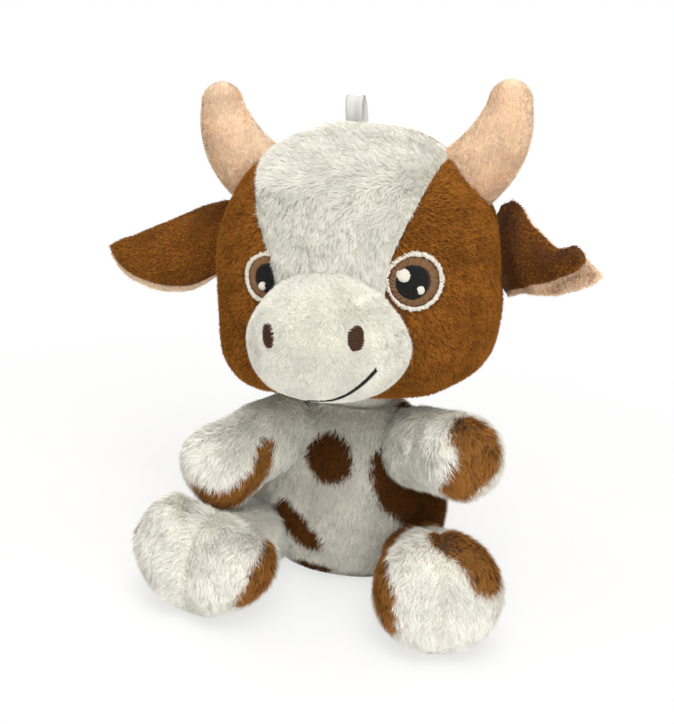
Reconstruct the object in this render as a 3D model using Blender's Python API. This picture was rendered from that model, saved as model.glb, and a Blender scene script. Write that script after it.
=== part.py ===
# A sitting plush cow: stuffed head, torso, arms and legs in sewn fabric covers,
# with horns, ears, embroidered eyes, nostrils and smile, a ribbon loop and a tail.
# Metres, +Z up. The cow faces -Y and its left side is +X. The seat stands on z = 0.

import math

import bmesh
import bpy
from mathutils import Matrix, Vector

# Fabric and sewing
cover_thickness = 0.0018  # plush fabric with the packed foot of its pile
seam_gap = 0.0003  # between two covers that are sewn edge to edge
fit_gap = 0.0003  # between a cover and its stuffing
seat_gap = 0.0004  # between two stuffed pieces that bear on each other
stitch_height = 0.0008  # embroidery stands this much off the fabric
sole_flat = 0.0005  # a stuffed piece that stands on the floor is flattened this much
cut_overrun = 0.02  # how far a cutting shape runs past what it cuts
weld_distance = 0.0001  # points this close are one point
corner_share_limit = 0.5  # keeps a cover's sharp corners from drawing back too far
round_squareness = 2.0  # of a ring that is a true ellipse
crease_angle = math.radians(50.0)  # edges sharper than this are shaded as edges

# Torso, a pear that stands flat on its base
torso_half_width = 0.0405
torso_front = 0.0350
torso_back = 0.0330
torso_height = 0.0720
torso_lean = 0.0090  # how far the neck end leans forward
torso_height_shares = (0.0, 0.07, 0.18, 0.32, 0.46, 0.60, 0.73, 0.85, 0.94, 1.0)
torso_girth_shares = (0.66, 0.82, 0.95, 1.0, 0.97, 0.88, 0.76, 0.60, 0.42, 0.22)
torso_sides = 24
torso_squareness = 2.2
side_seam_y = -0.0020

# Neck: a ball of stuffing between the torso and the head
neck_ball_radius = 0.0150
neck_rise = 0.0065  # centre of the ball above the top of the torso
neck_sides = 18
neck_rings = 10
head_turn_at_rest = math.radians(-6.0)
head_tilt_at_rest = math.radians(-7.5)

# Head, measured from its own centre
head_half_width = 0.0550
head_front = 0.0480
head_back = 0.0460
head_above = 0.0520
head_below = 0.0490
head_settle = 0.0045  # the neck ball's centre above the underside of the head
head_set_back = 0.0064  # the head's centre behind the neck ball's
head_sides = 28
head_rings = 15
crown_squareness = 2.15
jowl_squareness = 2.7
head_plan_squareness = 2.25
back_seam_y = 0.0060
blaze_top_share = 0.655  # of the head's half-width, at the crown
blaze_low_share = 0.318  # and level with its centre
blaze_top_rise = 0.0400
blaze_end_drop = 0.0150
blaze_top_half_width = head_half_width * blaze_top_share
blaze_low_half_width = head_half_width * blaze_low_share

# Muzzle, sewn on the front of the head
muzzle_half_width = 0.0300
muzzle_half_height = 0.0240
muzzle_bulge = 0.0300  # from its widest ring to its front
muzzle_sink = 0.0070  # its widest ring behind the front of the head
muzzle_root = 0.0150  # how far it starts behind its widest ring
muzzle_drop = 0.0170
muzzle_sides = 20
muzzle_rings = 6
muzzle_squareness = 2.3
muzzle_front_squareness = 2.35

# Embroidery on the face
eye_spread = 0.0278
eye_rise = 0.0019
eye_radius = 0.0108
eye_turn = math.radians(28.0)
eye_sides = 24
nostril_spread = 0.0154
nostril_drop = 0.0105
nostril_half_width = 0.0031
nostril_half_height = 0.0050
nostril_sides = 14
smile_start = -0.0050
smile_end = 0.0215
smile_drop = 0.0375
smile_lift = 0.0140
smile_curve = 2.2
smile_stroke = 0.0013
smile_thin_share = 0.5  # of the stroke, at the smile's inner end
smile_steps = 7

# Horns
horn_rise = 0.0340
horn_back = 0.0060
horn_length = 0.0345
horn_root_radius = 0.0120
horn_tip_radius = 0.0078
horn_root_sink = 0.0120
horn_lean = math.radians(46.0)
horn_curl = math.radians(52.0)
horn_sweep = math.radians(8.0)
horn_sides = 12
horn_steps = 7
horn_cap_steps = 3

# Ears
ear_rise = 0.0070
ear_back = 0.0050
ear_length = 0.0460
ear_half_width = 0.0142
ear_pad_thickness = 0.0026
ear_edge_share = 0.30
ear_cup = 0.0045
ear_tip_lift = 0.0030
ear_pitch = math.radians(30.0)
ear_root_lean = math.radians(7.0)
left_ear_swing = math.radians(-35.0)  # how far the ear is bent back from its root's plane
right_ear_swing = math.radians(20.0)
left_ear_drop = 0.0240  # how far the tip falls below the root's middle
right_ear_drop = 0.0100
ear_root_sink = 0.0040  # the pads are cut to the head's curve from this far inside it
ear_length_shares = (0.0, 0.10, 0.24, 0.40, 0.56, 0.70, 0.82, 0.91, 0.97, 1.0)
ear_width_shares = (0.98, 1.0, 1.0, 1.0, 0.95, 0.85, 0.69, 0.51, 0.33, 0.17)
ear_column_shares = (-1.0, -0.82, -0.45, 0.0, 0.45, 0.82, 1.0)

# Hang loop of ribbon, sewn into the crown seam
ribbon_width = 0.0065
ribbon_thickness = 0.0006
loop_half_width = 0.0042
loop_half_height = 0.0041
loop_stem = 0.0012
loop_sides = 20
loop_root_sink = 0.0010

# Arms
arm_root_radius = 0.0125
arm_paw_radius = 0.0160
arm_reach = 0.0310
arm_cap = 0.0130
arm_swell = 1.3
shoulder_height = 0.0580
shoulder_bearing = math.radians(58.0)
left_arm_bearing = math.radians(38.0)
left_arm_rise = math.radians(15.0)
right_arm_bearing = math.radians(47.0)
right_arm_rise = math.radians(-10.0)

# Legs
leg_root_radius = 0.0140
leg_foot_radius = 0.0218
leg_reach = 0.0450
leg_cap = 0.0150
leg_swell = 1.9
hip_bearing = math.radians(50.0)
leg_bearing = math.radians(17.0)
limb_sides = 16
limb_root_steps = 4
limb_shaft_shares = (0.25, 0.50, 0.72, 0.88, 1.0)
limb_cap_steps = 4
limb_cap_squareness = 2.5

# How far the seats and roots let the limbs and ears swing
left_ear_flap = (math.radians(-10.0), math.radians(30.0))  # back is positive
right_ear_flap = (math.radians(-35.0), math.radians(10.0))
left_arm_swing = (math.radians(-4.0), math.radians(18.0))
right_arm_swing = (math.radians(-35.0), 0.0)
leg_swing = (math.radians(-10.0), math.radians(15.0))

# Tail
tail_height = 0.0370
tail_radius = 0.0024
tail_length = 0.0190
tail_droop = math.radians(55.0)
tail_sides = 10
tuft_radius = 0.0056
tuft_length = 0.0150
tuft_overlap = 0.0030
tuft_steps = 6
tuft_fullness = 0.8

# Colours and surface roughness
brown_plush = (0.165, 0.052, 0.010)
white_plush = (0.86, 0.84, 0.80)
peach_velboa = (0.83, 0.52, 0.33)
stuffing_white = (0.90, 0.90, 0.88)
thread_black = (0.012, 0.009, 0.008)
thread_brown = (0.085, 0.022, 0.010)
ribbon_white = (0.88, 0.88, 0.87)
plush_roughness = 0.95
velboa_roughness = 0.90
stuffing_roughness = 1.0
thread_roughness = 0.45
ribbon_roughness = 0.35


def material(name, colour, roughness):
    made = bpy.data.materials.new(name)
    made.use_nodes = True
    shader = made.node_tree.nodes["Principled BSDF"]
    shader.inputs["Base Color"].default_value = (*colour, 1.0)
    shader.inputs["Roughness"].default_value = roughness
    shader.inputs["Metallic"].default_value = 0.0
    return made


def signed_power(value, power):
    return math.copysign(abs(value) ** power, value)


def ring(centre, half_width, front, back, sides, squareness):
    """Points round a rounded-square ring in the XY plane, the first one at the front."""
    points = []
    for step in range(sides):
        angle = math.tau * step / sides
        across = signed_power(math.sin(angle), 2.0 / squareness)
        along = signed_power(-math.cos(angle), 2.0 / squareness)
        depth = back if along > 0.0 else front
        points.append(centre + Vector((across * half_width, along * depth, 0.0)))
    return points


def lofted(rings, bottom, top):
    """A closed skin through the rings, from the bottom pole to the top pole."""
    mesh = bmesh.new()
    loops = [[mesh.verts.new(point) for point in points] for points in rings]
    sides = len(loops[0])
    for lower, upper in zip(loops, loops[1:]):
        for step in range(sides):
            after = (step + 1) % sides
            mesh.faces.new((lower[step], lower[after], upper[after], upper[step]))
    for pole, loop, facing_up in ((bottom, loops[0], False), (top, loops[-1], True)):
        centre = mesh.verts.new(pole)
        for step in range(sides):
            pair = (loop[step], loop[(step + 1) % sides])
            mesh.faces.new((*pair, centre) if facing_up else (*reversed(pair), centre))
    mesh.normal_update()
    return mesh


def grown(form, distance):
    """A copy of a form with its surface moved out, or in where distance is negative."""
    copy = form.copy()
    copy.normal_update()
    moves = [vertex.normal * distance for vertex in copy.verts]
    for vertex, move in zip(copy.verts, moves):
        vertex.co += move
    copy.normal_update()
    return copy


def moved(form, matrix):
    copy = form.copy()
    copy.transform(matrix)
    copy.normal_update()
    return copy


def seam(form, point, normal, wanted):
    """Cuts the faces that are wanted along a plane, without parting them."""
    faces = [face for face in form.faces if wanted(face.calc_center_median())]
    edges = {edge for face in faces for edge in face.edges}
    vertices = {vertex for face in faces for vertex in face.verts}
    bmesh.ops.bisect_plane(
        form,
        geom=[*faces, *edges, *vertices],
        dist=weld_distance,
        plane_co=point,
        plane_no=normal,
    )
    form.normal_update()


def draw_back(vertex, chosen):
    """How a vertex on a cover's edge moves into the cover to leave half the seam's gap."""
    inward = []
    for edge in vertex.link_edges:
        sides = [face for face in edge.link_faces if face in chosen]
        if len(sides) != 1:
            continue
        along = (edge.verts[1].co - edge.verts[0].co).normalized()
        across = sides[0].normal.cross(along).normalized()
        middle = (edge.verts[0].co + edge.verts[1].co) / 2.0
        if across.dot(sides[0].calc_center_median() - middle) < 0.0:
            across.negate()
        inward.append(across)
    if not inward:
        return Vector()
    if len(inward) == 1:
        return inward[0] * seam_gap / 2.0
    lean = max(1.0 + inward[0].dot(inward[1]), corner_share_limit)
    return (inward[0] + inward[1]) * (seam_gap / 2.0) / lean


def cover(form, belongs):
    """A cover of even thickness over the faces of a form that belong to it."""
    chosen = {face for face in form.faces if belongs(face.calc_center_median())}
    made = bmesh.new()
    outer, inner = {}, {}
    for vertex in form.verts:
        if not any(face in chosen for face in vertex.link_faces):
            continue
        point = vertex.co + draw_back(vertex, chosen)
        outer[vertex] = made.verts.new(point)
        inner[vertex] = made.verts.new(point - vertex.normal * cover_thickness)
    for face in chosen:
        made.faces.new([outer[vertex] for vertex in face.verts])
        made.faces.new([inner[vertex] for vertex in reversed(face.verts)])
        for loop in face.loops:
            if sum(other in chosen for other in loop.edge.link_faces) == 1:
                start, end = loop.vert, loop.link_loop_next.vert
                made.faces.new((outer[end], outer[start], inner[start], inner[end]))
    made.normal_update()
    return made


def piece(name, form, finish, frame=Matrix(), pivot=Vector(), parent=None):
    """An object from a form given in the frame's coordinates, with its origin at pivot there."""
    made = moved(form, Matrix.Translation(-pivot))
    mesh = bpy.data.meshes.new(name)
    made.to_mesh(mesh)
    made.free()
    mesh.shade_smooth()
    mesh.set_sharp_from_angle(angle=crease_angle)
    mesh.materials.append(finish)
    item = bpy.data.objects.new(name, mesh)
    bpy.context.collection.objects.link(item)
    if parent is None:
        item.matrix_world = frame @ Matrix.Translation(pivot)
    else:
        item.parent = parent
        item.location = pivot
    return item


def cutter(name, form, parent=None):
    """A shape that only cuts others."""
    tool = piece(name, form, finishes["stuffing"], parent=parent)
    tool.hide_render = True
    tool.display_type = "WIRE"
    return tool


def cut(item, tool, operation="DIFFERENCE"):
    change = item.modifiers.new(tool.name, "BOOLEAN")
    change.operation = operation
    change.solver = "EXACT"
    change.object = tool


def pivot_empty(name, location, parent=None):
    empty = bpy.data.objects.new(name, None)
    bpy.context.collection.objects.link(empty)
    empty.parent = parent
    empty.location = location
    return empty


def facet_sag(radius, sides):
    """How far the middles of a ball's facets lie inside its radius."""
    return radius * (1.0 - math.cos(math.pi / sides) ** 2)


def superellipse_share(share, squareness):
    """Half-breadth of a unit superellipse at a share of its half-height."""
    return max(1.0 - abs(share) ** squareness, 0.0) ** (1.0 / squareness)


def between(share, shares, values):
    """The value at a share, read along straight lines between the tabled ones."""
    for low, high, first, last in zip(shares, shares[1:], values, values[1:]):
        if share <= high:
            return first + (last - first) * (share - low) / (high - low)
    return values[-1]


def torso_centre(height):
    return Vector((0.0, -torso_lean * (height / torso_height) ** 2, height))


def torso_form():
    rings = []
    for height_share, girth in zip(torso_height_shares, torso_girth_shares):
        centre = torso_centre(height_share * torso_height)
        sizes = (torso_half_width * girth, torso_front * girth, torso_back * girth)
        rings.append(ring(centre, *sizes, torso_sides, torso_squareness))
    return lofted(rings, torso_centre(0.0), torso_centre(torso_height))


def on_torso(height, bearing):
    """The point of the torso's surface at a height, bearing from the front towards +X."""
    girth = between(height / torso_height, torso_height_shares, torso_girth_shares)
    depth = torso_front if math.cos(bearing) > 0.0 else torso_back
    across = math.sin(bearing) * torso_half_width * girth
    along = -math.cos(bearing) * depth * girth
    return torso_centre(height) + Vector((across, along, 0.0))


def head_girth(height):
    """Share of the head's girth at a height over its centre."""
    if height > 0.0:
        return superellipse_share(height / head_above, crown_squareness)
    return superellipse_share(height / head_below, jowl_squareness)


def head_side(depth, height):
    """Half-width of the head at a depth and height from its centre."""
    girth = head_girth(height)
    reach = (head_back if depth > 0.0 else head_front) * girth
    return head_half_width * girth * superellipse_share(depth / reach, head_plan_squareness)


def head_face(across, height):
    """How far the front of the head stands before its centre, at a width and height."""
    girth = head_girth(height)
    share = across / (head_half_width * girth)
    return head_front * girth * superellipse_share(share, head_plan_squareness)


def head_form():
    rings = []
    for step in range(1, head_rings):
        rise = -math.cos(math.pi * step / head_rings)
        height = rise * (head_above if rise > 0.0 else head_below)
        girth = head_girth(height)
        sizes = (head_half_width * girth, head_front * girth, head_back * girth)
        centre = head_centre + Vector((0.0, 0.0, height))
        rings.append(ring(centre, *sizes, head_sides, head_plan_squareness))
    bottom = head_centre - Vector((0.0, 0.0, head_below))
    top = head_centre + Vector((0.0, 0.0, head_above))
    return lofted(rings, bottom, top)


def blaze_edge(height):
    """Half-width of the white blaze at a height over the head's centre."""
    share = height / blaze_top_rise
    return blaze_low_half_width + (blaze_top_half_width - blaze_low_half_width) * share


def head_seams(form):
    """Marks the crown seam, both edges of the blaze and its end behind the muzzle."""
    crown = head_centre + Vector((0.0, back_seam_y, 0.0))
    seam(form, crown, Vector((0.0, 1.0, 0.0)), lambda at: True)
    blaze_end = head_centre - Vector((0.0, 0.0, blaze_end_drop))
    seam(form, blaze_end, Vector((0.0, 0.0, 1.0)), lambda at: at.y < crown.y)
    slope = blaze_edge(blaze_top_rise) - blaze_edge(0.0)
    for side in (-1.0, 1.0):
        edge = head_centre + Vector((side * blaze_edge(0.0), 0.0, 0.0))
        across = Vector((side * blaze_top_rise, 0.0, -slope)).normalized()
        seam(form, edge, across, lambda at: at.y < crown.y and at.z > blaze_end.z)


def head_panel(at):
    """The cover that a place on the head belongs to."""
    from_centre = at - head_centre
    if from_centre.y > back_seam_y:
        return "back"
    above_end = from_centre.z > -blaze_end_drop
    if above_end and abs(from_centre.x) < blaze_edge(from_centre.z):
        return "blaze"
    return "left" if from_centre.x > 0.0 else "right"


def muzzle_form():
    """The muzzle's dome, with its axis towards -Y."""
    depths = [(-muzzle_root, 1.0)]
    for step in range(muzzle_rings):
        angle = math.pi / 2.0 * step / muzzle_rings
        out = math.sin(angle) ** (2.0 / muzzle_front_squareness)
        depths.append((muzzle_bulge * out, superellipse_share(out, muzzle_front_squareness)))
    rings = []
    for out, girth in depths:
        sizes = (muzzle_half_width * girth, muzzle_half_height * girth)
        flat = ring(Vector(), sizes[0], sizes[1], sizes[1], muzzle_sides, muzzle_squareness)
        rings.append([point + Vector((0.0, 0.0, out)) for point in flat])
    back, front = Vector((0.0, 0.0, -muzzle_root)), Vector((0.0, 0.0, muzzle_bulge))
    place = Matrix.Translation(muzzle_centre) @ Matrix.Rotation(math.pi / 2.0, 4, "X")
    return moved(lofted(rings, back, front), place)


def ball(radius):
    rings = []
    for step in range(1, neck_rings):
        angle = math.pi * (step / neck_rings - 0.5)
        centre = Vector((0.0, 0.0, radius * math.sin(angle)))
        girth = radius * math.cos(angle)
        rings.append(ring(centre, girth, girth, girth, neck_sides, round_squareness))
    return lofted(rings, Vector((0.0, 0.0, -radius)), Vector((0.0, 0.0, radius)))


def tube(stations, sides):
    """A closed skin round stations of (centre, direction, radius), with pointed ends."""
    rings = []
    for centre, direction, radius in stations[1:-1]:
        turn = Vector((0.0, 0.0, 1.0)).rotation_difference(direction).to_matrix()
        flat = ring(Vector(), radius, radius, radius, sides, round_squareness)
        rings.append([centre + turn @ point for point in flat])
    return lofted(rings, stations[0][0], stations[-1][0])


def limb_form(root_radius, end_radius, reach, cap, swell, extra=0.0):
    """A limb along +Z: a round root about the origin, a swelling shaft and a blunt end."""
    profile = []
    for step in range(1, limb_root_steps + 1):
        angle = math.pi / 2.0 * (step / limb_root_steps - 1.0)
        profile.append((root_radius * math.sin(angle), root_radius * math.cos(angle)))
    for share in limb_shaft_shares:
        radius = root_radius + (end_radius - root_radius) * share**swell
        profile.append((reach * share, radius))
    for step in range(1, limb_cap_steps):
        out = math.sin(math.pi / 2.0 * step / limb_cap_steps)
        radius = end_radius * superellipse_share(out, limb_cap_squareness)
        profile.append((reach + cap * out, radius))
    rings = []
    for along, radius in profile:
        flat = ring(Vector(), radius, radius, radius, limb_sides, round_squareness)
        rings.append([point + Vector((0.0, 0.0, along)) for point in flat])
    ends = (Vector((0.0, 0.0, -root_radius)), Vector((0.0, 0.0, reach + cap)))
    form = lofted(rings, *ends)
    return grown(form, extra) if extra else form


def limb_frame(pivot, bearing, rise):
    """The frame of a limb whose axis leaves the pivot at a bearing from -Y and a rise."""
    across = math.cos(rise)
    direction = Vector((math.sin(bearing) * across, -math.cos(bearing) * across, math.sin(rise)))
    side = Vector((0.0, 0.0, 1.0)).cross(direction).normalized()
    up = direction.cross(side)
    turn = Matrix((side, up, direction)).transposed().to_4x4()
    return Matrix.Translation(pivot) @ turn


def flattened(form):
    """A form in world coordinates with what lies below the floor pressed flat on it."""
    copy = form.copy()
    seam(copy, Vector(), Vector((0.0, 0.0, 1.0)), lambda at: True)
    for vertex in copy.verts:
        vertex.co.z = max(vertex.co.z, 0.0)
    copy.normal_update()
    return copy


def mirrored(form):
    """The other side's copy of a form, through the plane x = 0."""
    copy = moved(form, Matrix.Diagonal((-1.0, 1.0, 1.0, 1.0)))
    bmesh.ops.reverse_faces(copy, faces=copy.faces)
    copy.normal_update()
    return copy


def horn_form(extra=0.0):
    """The left horn, from a root sunk in the head to a blunt tip."""
    sweep = Matrix.Rotation(-horn_sweep, 3, "X")
    start = head_centre + Vector((head_side(horn_back, horn_rise), horn_back, horn_rise))
    step_length = horn_length / horn_steps
    stations = []
    place = Vector((-math.sin(horn_lean), 0.0, -math.cos(horn_lean))) * horn_root_sink
    lean = horn_lean
    for step in range(horn_steps + 1):
        share = step / horn_steps
        heading = Vector((math.sin(lean), 0.0, math.cos(lean)))
        radius = horn_root_radius + (horn_tip_radius - horn_root_radius) * share**2
        stations.append((place, heading, radius))
        place = place + heading * (horn_root_sink if step == 0 else step_length)
        lean = horn_lean - horn_curl * share
    tip, heading, radius = stations[-1]
    for step in range(1, horn_cap_steps + 1):
        angle = math.pi / 2.0 * step / horn_cap_steps
        place = tip + heading * horn_tip_radius * math.sin(angle)
        stations.append((place, heading, radius * math.cos(angle)))
    stations.insert(0, stations[0])
    stations = [(start + sweep @ at, sweep @ way, size) for at, way, size in stations]
    form = tube(stations, horn_sides)
    return grown(form, extra) if extra else form


def prism(outline, depth):
    """A straight prism along +Z from z = 0, round an outline that runs counter-clockwise."""
    made = bmesh.new()
    low = [made.verts.new((x, y, 0.0)) for x, y in outline]
    high = [made.verts.new((x, y, depth)) for x, y in outline]
    made.faces.new(list(reversed(low)))
    made.faces.new(high)
    for step in range(len(low)):
        after = (step + 1) % len(low)
        made.faces.new((low[step], low[after], high[after], high[step]))
    made.normal_update()
    return made


def oval(half_width, half_height, sides):
    angles = [math.tau * step / sides for step in range(sides)]
    return [(half_width * math.cos(angle), half_height * math.sin(angle)) for angle in angles]


def facing(place, turn):
    """The frame of an outline on the face: +Z leaves the face, +Y is up."""
    upright = Matrix.Rotation(math.pi / 2.0, 4, "X")
    return Matrix.Translation(place) @ Matrix.Rotation(turn, 4, "Z") @ upright


def smile_outline():
    """The stroke of the smile, seen from the front, thinner at its inner end."""
    above, below = [], []
    for step in range(smile_steps + 1):
        share = step / smile_steps
        x = smile_start + (smile_end - smile_start) * share
        z = smile_lift * share**smile_curve - smile_drop
        slope = smile_lift * smile_curve * share ** (smile_curve - 1.0)
        along = Vector((smile_end - smile_start, slope)).normalized()
        half = smile_stroke / 2.0 * (smile_thin_share + (1.0 - smile_thin_share) * share)
        above.append((x - along.y * half, z + along.x * half))
        below.append((x + along.y * half, z - along.x * half))
    return below + list(reversed(above))


def ear_pad(face, drop):
    """One pad of a left ear, from its root line: face is 1 for the back, -1 for the lining."""
    made = bmesh.new()
    near, far = [], []
    root = (-ear_root_sink / ear_length, ear_width_shares[0])
    for along, breadth in [root, *zip(ear_length_shares, ear_width_shares)]:
        rise = min(1.0, max(0.0, along / ear_length_shares[2]))
        swell = ear_edge_share + (1.0 - ear_edge_share) * rise
        near_row, far_row = [], []
        for across in ear_column_shares:
            x = ear_length * along
            y = ear_half_width * breadth * across - drop * along**2
            middle = ear_tip_lift * along**2 - ear_cup * across**2 * breadth
            crown = math.sqrt(max(1.0 - across**2, 0.0))
            thick = ear_pad_thickness * (ear_edge_share + (1.0 - ear_edge_share) * crown) * swell
            near_row.append(made.verts.new((x, y, middle + face * seam_gap / 2.0)))
            far_row.append(made.verts.new((x, y, middle + face * (seam_gap / 2.0 + thick))))
        near.append(near_row)
        far.append(far_row)
    rows, columns = len(near), len(near[0])
    for row in range(rows - 1):
        for column in range(columns - 1):
            corners = ((row, column), (row + 1, column), (row + 1, column + 1), (row, column + 1))
            made.faces.new([far[i][j] for i, j in corners])
            made.faces.new([near[i][j] for i, j in reversed(corners)])
    rim = [(0, column) for column in range(columns)]
    rim += [(row, columns - 1) for row in range(1, rows)]
    rim += [(rows - 1, column) for column in range(columns - 2, -1, -1)]
    rim += [(row, 0) for row in range(rows - 2, 0, -1)]
    for place, (i, j) in enumerate(rim):
        row, column = rim[(place + 1) % len(rim)]
        corners = (far[i][j], far[row][column], near[row][column], near[i][j])
        made.faces.new(corners)
    bmesh.ops.recalc_face_normals(made, faces=made.faces)
    made.normal_update()
    return made


def ear_frame(swing):
    """A left ear's frame: +X runs out along it, +Y up its root line, +Z off its back."""
    root = head_centre + Vector((head_side(ear_back, ear_rise), ear_back, ear_rise))
    pitched = Matrix.Rotation(math.pi / 2.0 - ear_pitch, 4, "X")
    leaned = Matrix.Rotation(-ear_root_lean, 4, "Y")
    swung = Matrix.Rotation(swing, 4, "Y")
    return Matrix.Translation(root) @ leaned @ pitched @ swung


def ribbon_loop():
    """A closed loop of ribbon on a short stem, across the crown seam, from its stem's foot."""
    made = bmesh.new()
    middle = loop_stem + loop_half_height
    walls = []
    for side in (-1.0, 1.0):
        edge = []
        for inset in (0.0, ribbon_thickness):
            points = []
            for step in range(loop_sides):
                angle = math.tau * (step + 0.5) / loop_sides
                across = (loop_half_width - inset) * math.sin(angle)
                height = middle - (loop_half_height - inset) * math.cos(angle)
                points.append(made.verts.new((side * ribbon_width / 2.0, across, height)))
            edge.append(points)
        walls.append(edge)
    (outer_a, inner_a), (outer_b, inner_b) = walls
    for step in range(loop_sides):
        after = (step + 1) % loop_sides
        made.faces.new((outer_a[step], outer_a[after], inner_a[after], inner_a[step]))
        made.faces.new((outer_b[after], outer_b[step], inner_b[step], inner_b[after]))
        made.faces.new((inner_a[step], inner_a[after], inner_b[after], inner_b[step]))
        wall = made.faces.new((outer_a[after], outer_a[step], outer_b[step], outer_b[after]))
        if after == 0:
            foot = wall
    bmesh.ops.recalc_face_normals(made, faces=made.faces)
    stem = bmesh.ops.extrude_discrete_faces(made, faces=[foot])["faces"][0]
    for vertex in stem.verts:
        vertex.co.z = -loop_root_sink
        vertex.co.y = math.copysign(ribbon_thickness / 2.0, vertex.co.y)
    made.normal_update()
    return made


def tail_form():
    """The tail's cord from a round root at the origin, along +Z."""
    stations = []
    for step in range(limb_root_steps + 1):
        angle = math.pi / 2.0 * (step / limb_root_steps - 1.0)
        stations.append((tail_radius * math.sin(angle), tail_radius * math.cos(angle)))
    stations.append((tail_length, tail_radius))
    stations.append((tail_length, 0.0))
    up = Vector((0.0, 0.0, 1.0))
    return tube([(up * along, up, radius) for along, radius in stations], tail_sides)


def tuft_form():
    """The tail's tuft, a drop round the end of the cord."""
    up = Vector((0.0, 0.0, 1.0))
    start = tail_length - tuft_overlap
    stations = []
    for step in range(tuft_steps + 1):
        share = step / tuft_steps
        girth = math.sin(math.pi * share ** tuft_fullness)
        stations.append((up * (start + tuft_length * share), up, tuft_radius * girth))
    return tube(stations, tail_sides)


for item in list(bpy.data.objects):
    bpy.data.objects.remove(item, do_unlink=True)

finishes = {
    "brown": material("brown_plush", brown_plush, plush_roughness),
    "white": material("white_plush", white_plush, plush_roughness),
    "peach": material("peach_velboa", peach_velboa, velboa_roughness),
    "stuffing": material("polyester_stuffing", stuffing_white, stuffing_roughness),
    "black_thread": material("black_thread", thread_black, thread_roughness),
    "brown_thread": material("brown_thread", thread_brown, thread_roughness),
    "ribbon": material("white_ribbon", ribbon_white, ribbon_roughness),
}

neck_pivot = Vector((0.0, -torso_lean, torso_height + neck_rise))
head_centre = Vector((0.0, head_set_back, head_below - head_settle))
muzzle_centre = head_centre + Vector((0.0, muzzle_sink - head_front, -muzzle_drop))
stuffing_inset = cover_thickness + fit_gap

# Neck ball, and the seat that it turns in
neck_mount = pivot_empty("neck_mount", neck_pivot)
neck_mount.rotation_euler = (0.0, 0.0, head_turn_at_rest)
head_mount = pivot_empty("head_mount", Vector(), neck_mount)
head_mount.rotation_euler = (0.0, head_tilt_at_rest, 0.0)
piece("neck_stuffing", ball(neck_ball_radius), finishes["stuffing"], parent=neck_mount)
seat_radius = neck_ball_radius + seat_gap + facet_sag(neck_ball_radius, neck_sides)
neck_seat = cutter("neck_seat", ball(seat_radius), parent=neck_mount)

# Limbs, each with the shapes that cut its seat in the torso
seats = [neck_seat]
foot_height = leg_foot_radius - sole_flat
hip_height = leg_root_radius + seat_gap
leg_rise = math.asin((foot_height - hip_height) / leg_reach)
arm_sizes = (arm_root_radius, arm_paw_radius, arm_reach, arm_cap, arm_swell)
leg_sizes = (leg_root_radius, leg_foot_radius, leg_reach, leg_cap, leg_swell)
limbs = (
    ("left_arm", 1, arm_sizes, left_arm_bearing, left_arm_rise, left_arm_swing),
    ("right_arm", -1, arm_sizes, right_arm_bearing, right_arm_rise, right_arm_swing),
    ("left_leg", 1, leg_sizes, leg_bearing, leg_rise, leg_swing),
    ("right_leg", -1, leg_sizes, leg_bearing, leg_rise, leg_swing),
)
for name, side, sizes, bearing, rise, swing in limbs:
    is_arm = name.endswith("arm")
    root = on_torso(shoulder_height, side * shoulder_bearing)
    if not is_arm:
        root = on_torso(hip_height, side * hip_bearing)
    frame = limb_frame(root, side * bearing, rise)
    form = moved(limb_form(*sizes), frame)
    core = moved(limb_form(*sizes, extra=-stuffing_inset), frame)
    if not is_arm:
        form = flattened(form)
        lift = Matrix.Translation((0.0, 0.0, stuffing_inset))
        core = moved(flattened(moved(core, lift.inverted())), lift)
    into_frame = frame.inverted()
    halves = ("upper", "lower") if is_arm else ("outer", "inner")
    for half, way in zip(halves, (1, -1)):
        axis = 1 if is_arm else 0
        sign = way if is_arm else way * side
        panel = cover(form, lambda at: (into_frame @ at)[axis] * sign > 0.0)
        piece(f"{name}_{half}", panel, finishes["white"], pivot=root)
    piece(f"{name}_stuffing", core, finishes["stuffing"], pivot=root)
    half_swing = (swing[1] - swing[0]) / 2.0
    middle_swing = (swing[1] + swing[0]) / 2.0 * (1.0 if is_arm else side)
    turn = Matrix.Rotation(middle_swing, 4, "X" if is_arm else "Z")
    root_radius, end_radius, reach, cap, swell = sizes
    flare = math.tan(half_swing) + (end_radius - root_radius) / reach
    mouth = root_radius + (reach + cap) * flare
    funnel = (root_radius, mouth, reach + cap, cap, 1.0)
    turned = Matrix.Translation(root) @ turn @ Matrix.Translation(-root) @ frame
    room = seat_gap + facet_sag(root_radius, limb_sides)
    seat = moved(limb_form(*funnel, extra=room), turned)
    seats.append(cutter(f"{name}_seat", seat))

# Torso covers and stuffing
torso = torso_form()
core = grown(torso, -stuffing_inset)
seam(torso, Vector((0.0, side_seam_y, 0.0)), Vector((0.0, 1.0, 0.0)), lambda at: at.z > seam_gap)
torso_covers = {
    "body_base": lambda at: at.z < seam_gap,
    "body_front": lambda at: at.z > seam_gap and at.y < side_seam_y,
    "body_back": lambda at: at.z > seam_gap and at.y > side_seam_y,
}
for name, belongs in torso_covers.items():
    item = piece(name, cover(torso, belongs), finishes["white"])
    for seat in seats:
        cut(item, seat)
item = piece("body_stuffing", core, finishes["stuffing"])
for seat in seats:
    cut(item, seat)

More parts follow.
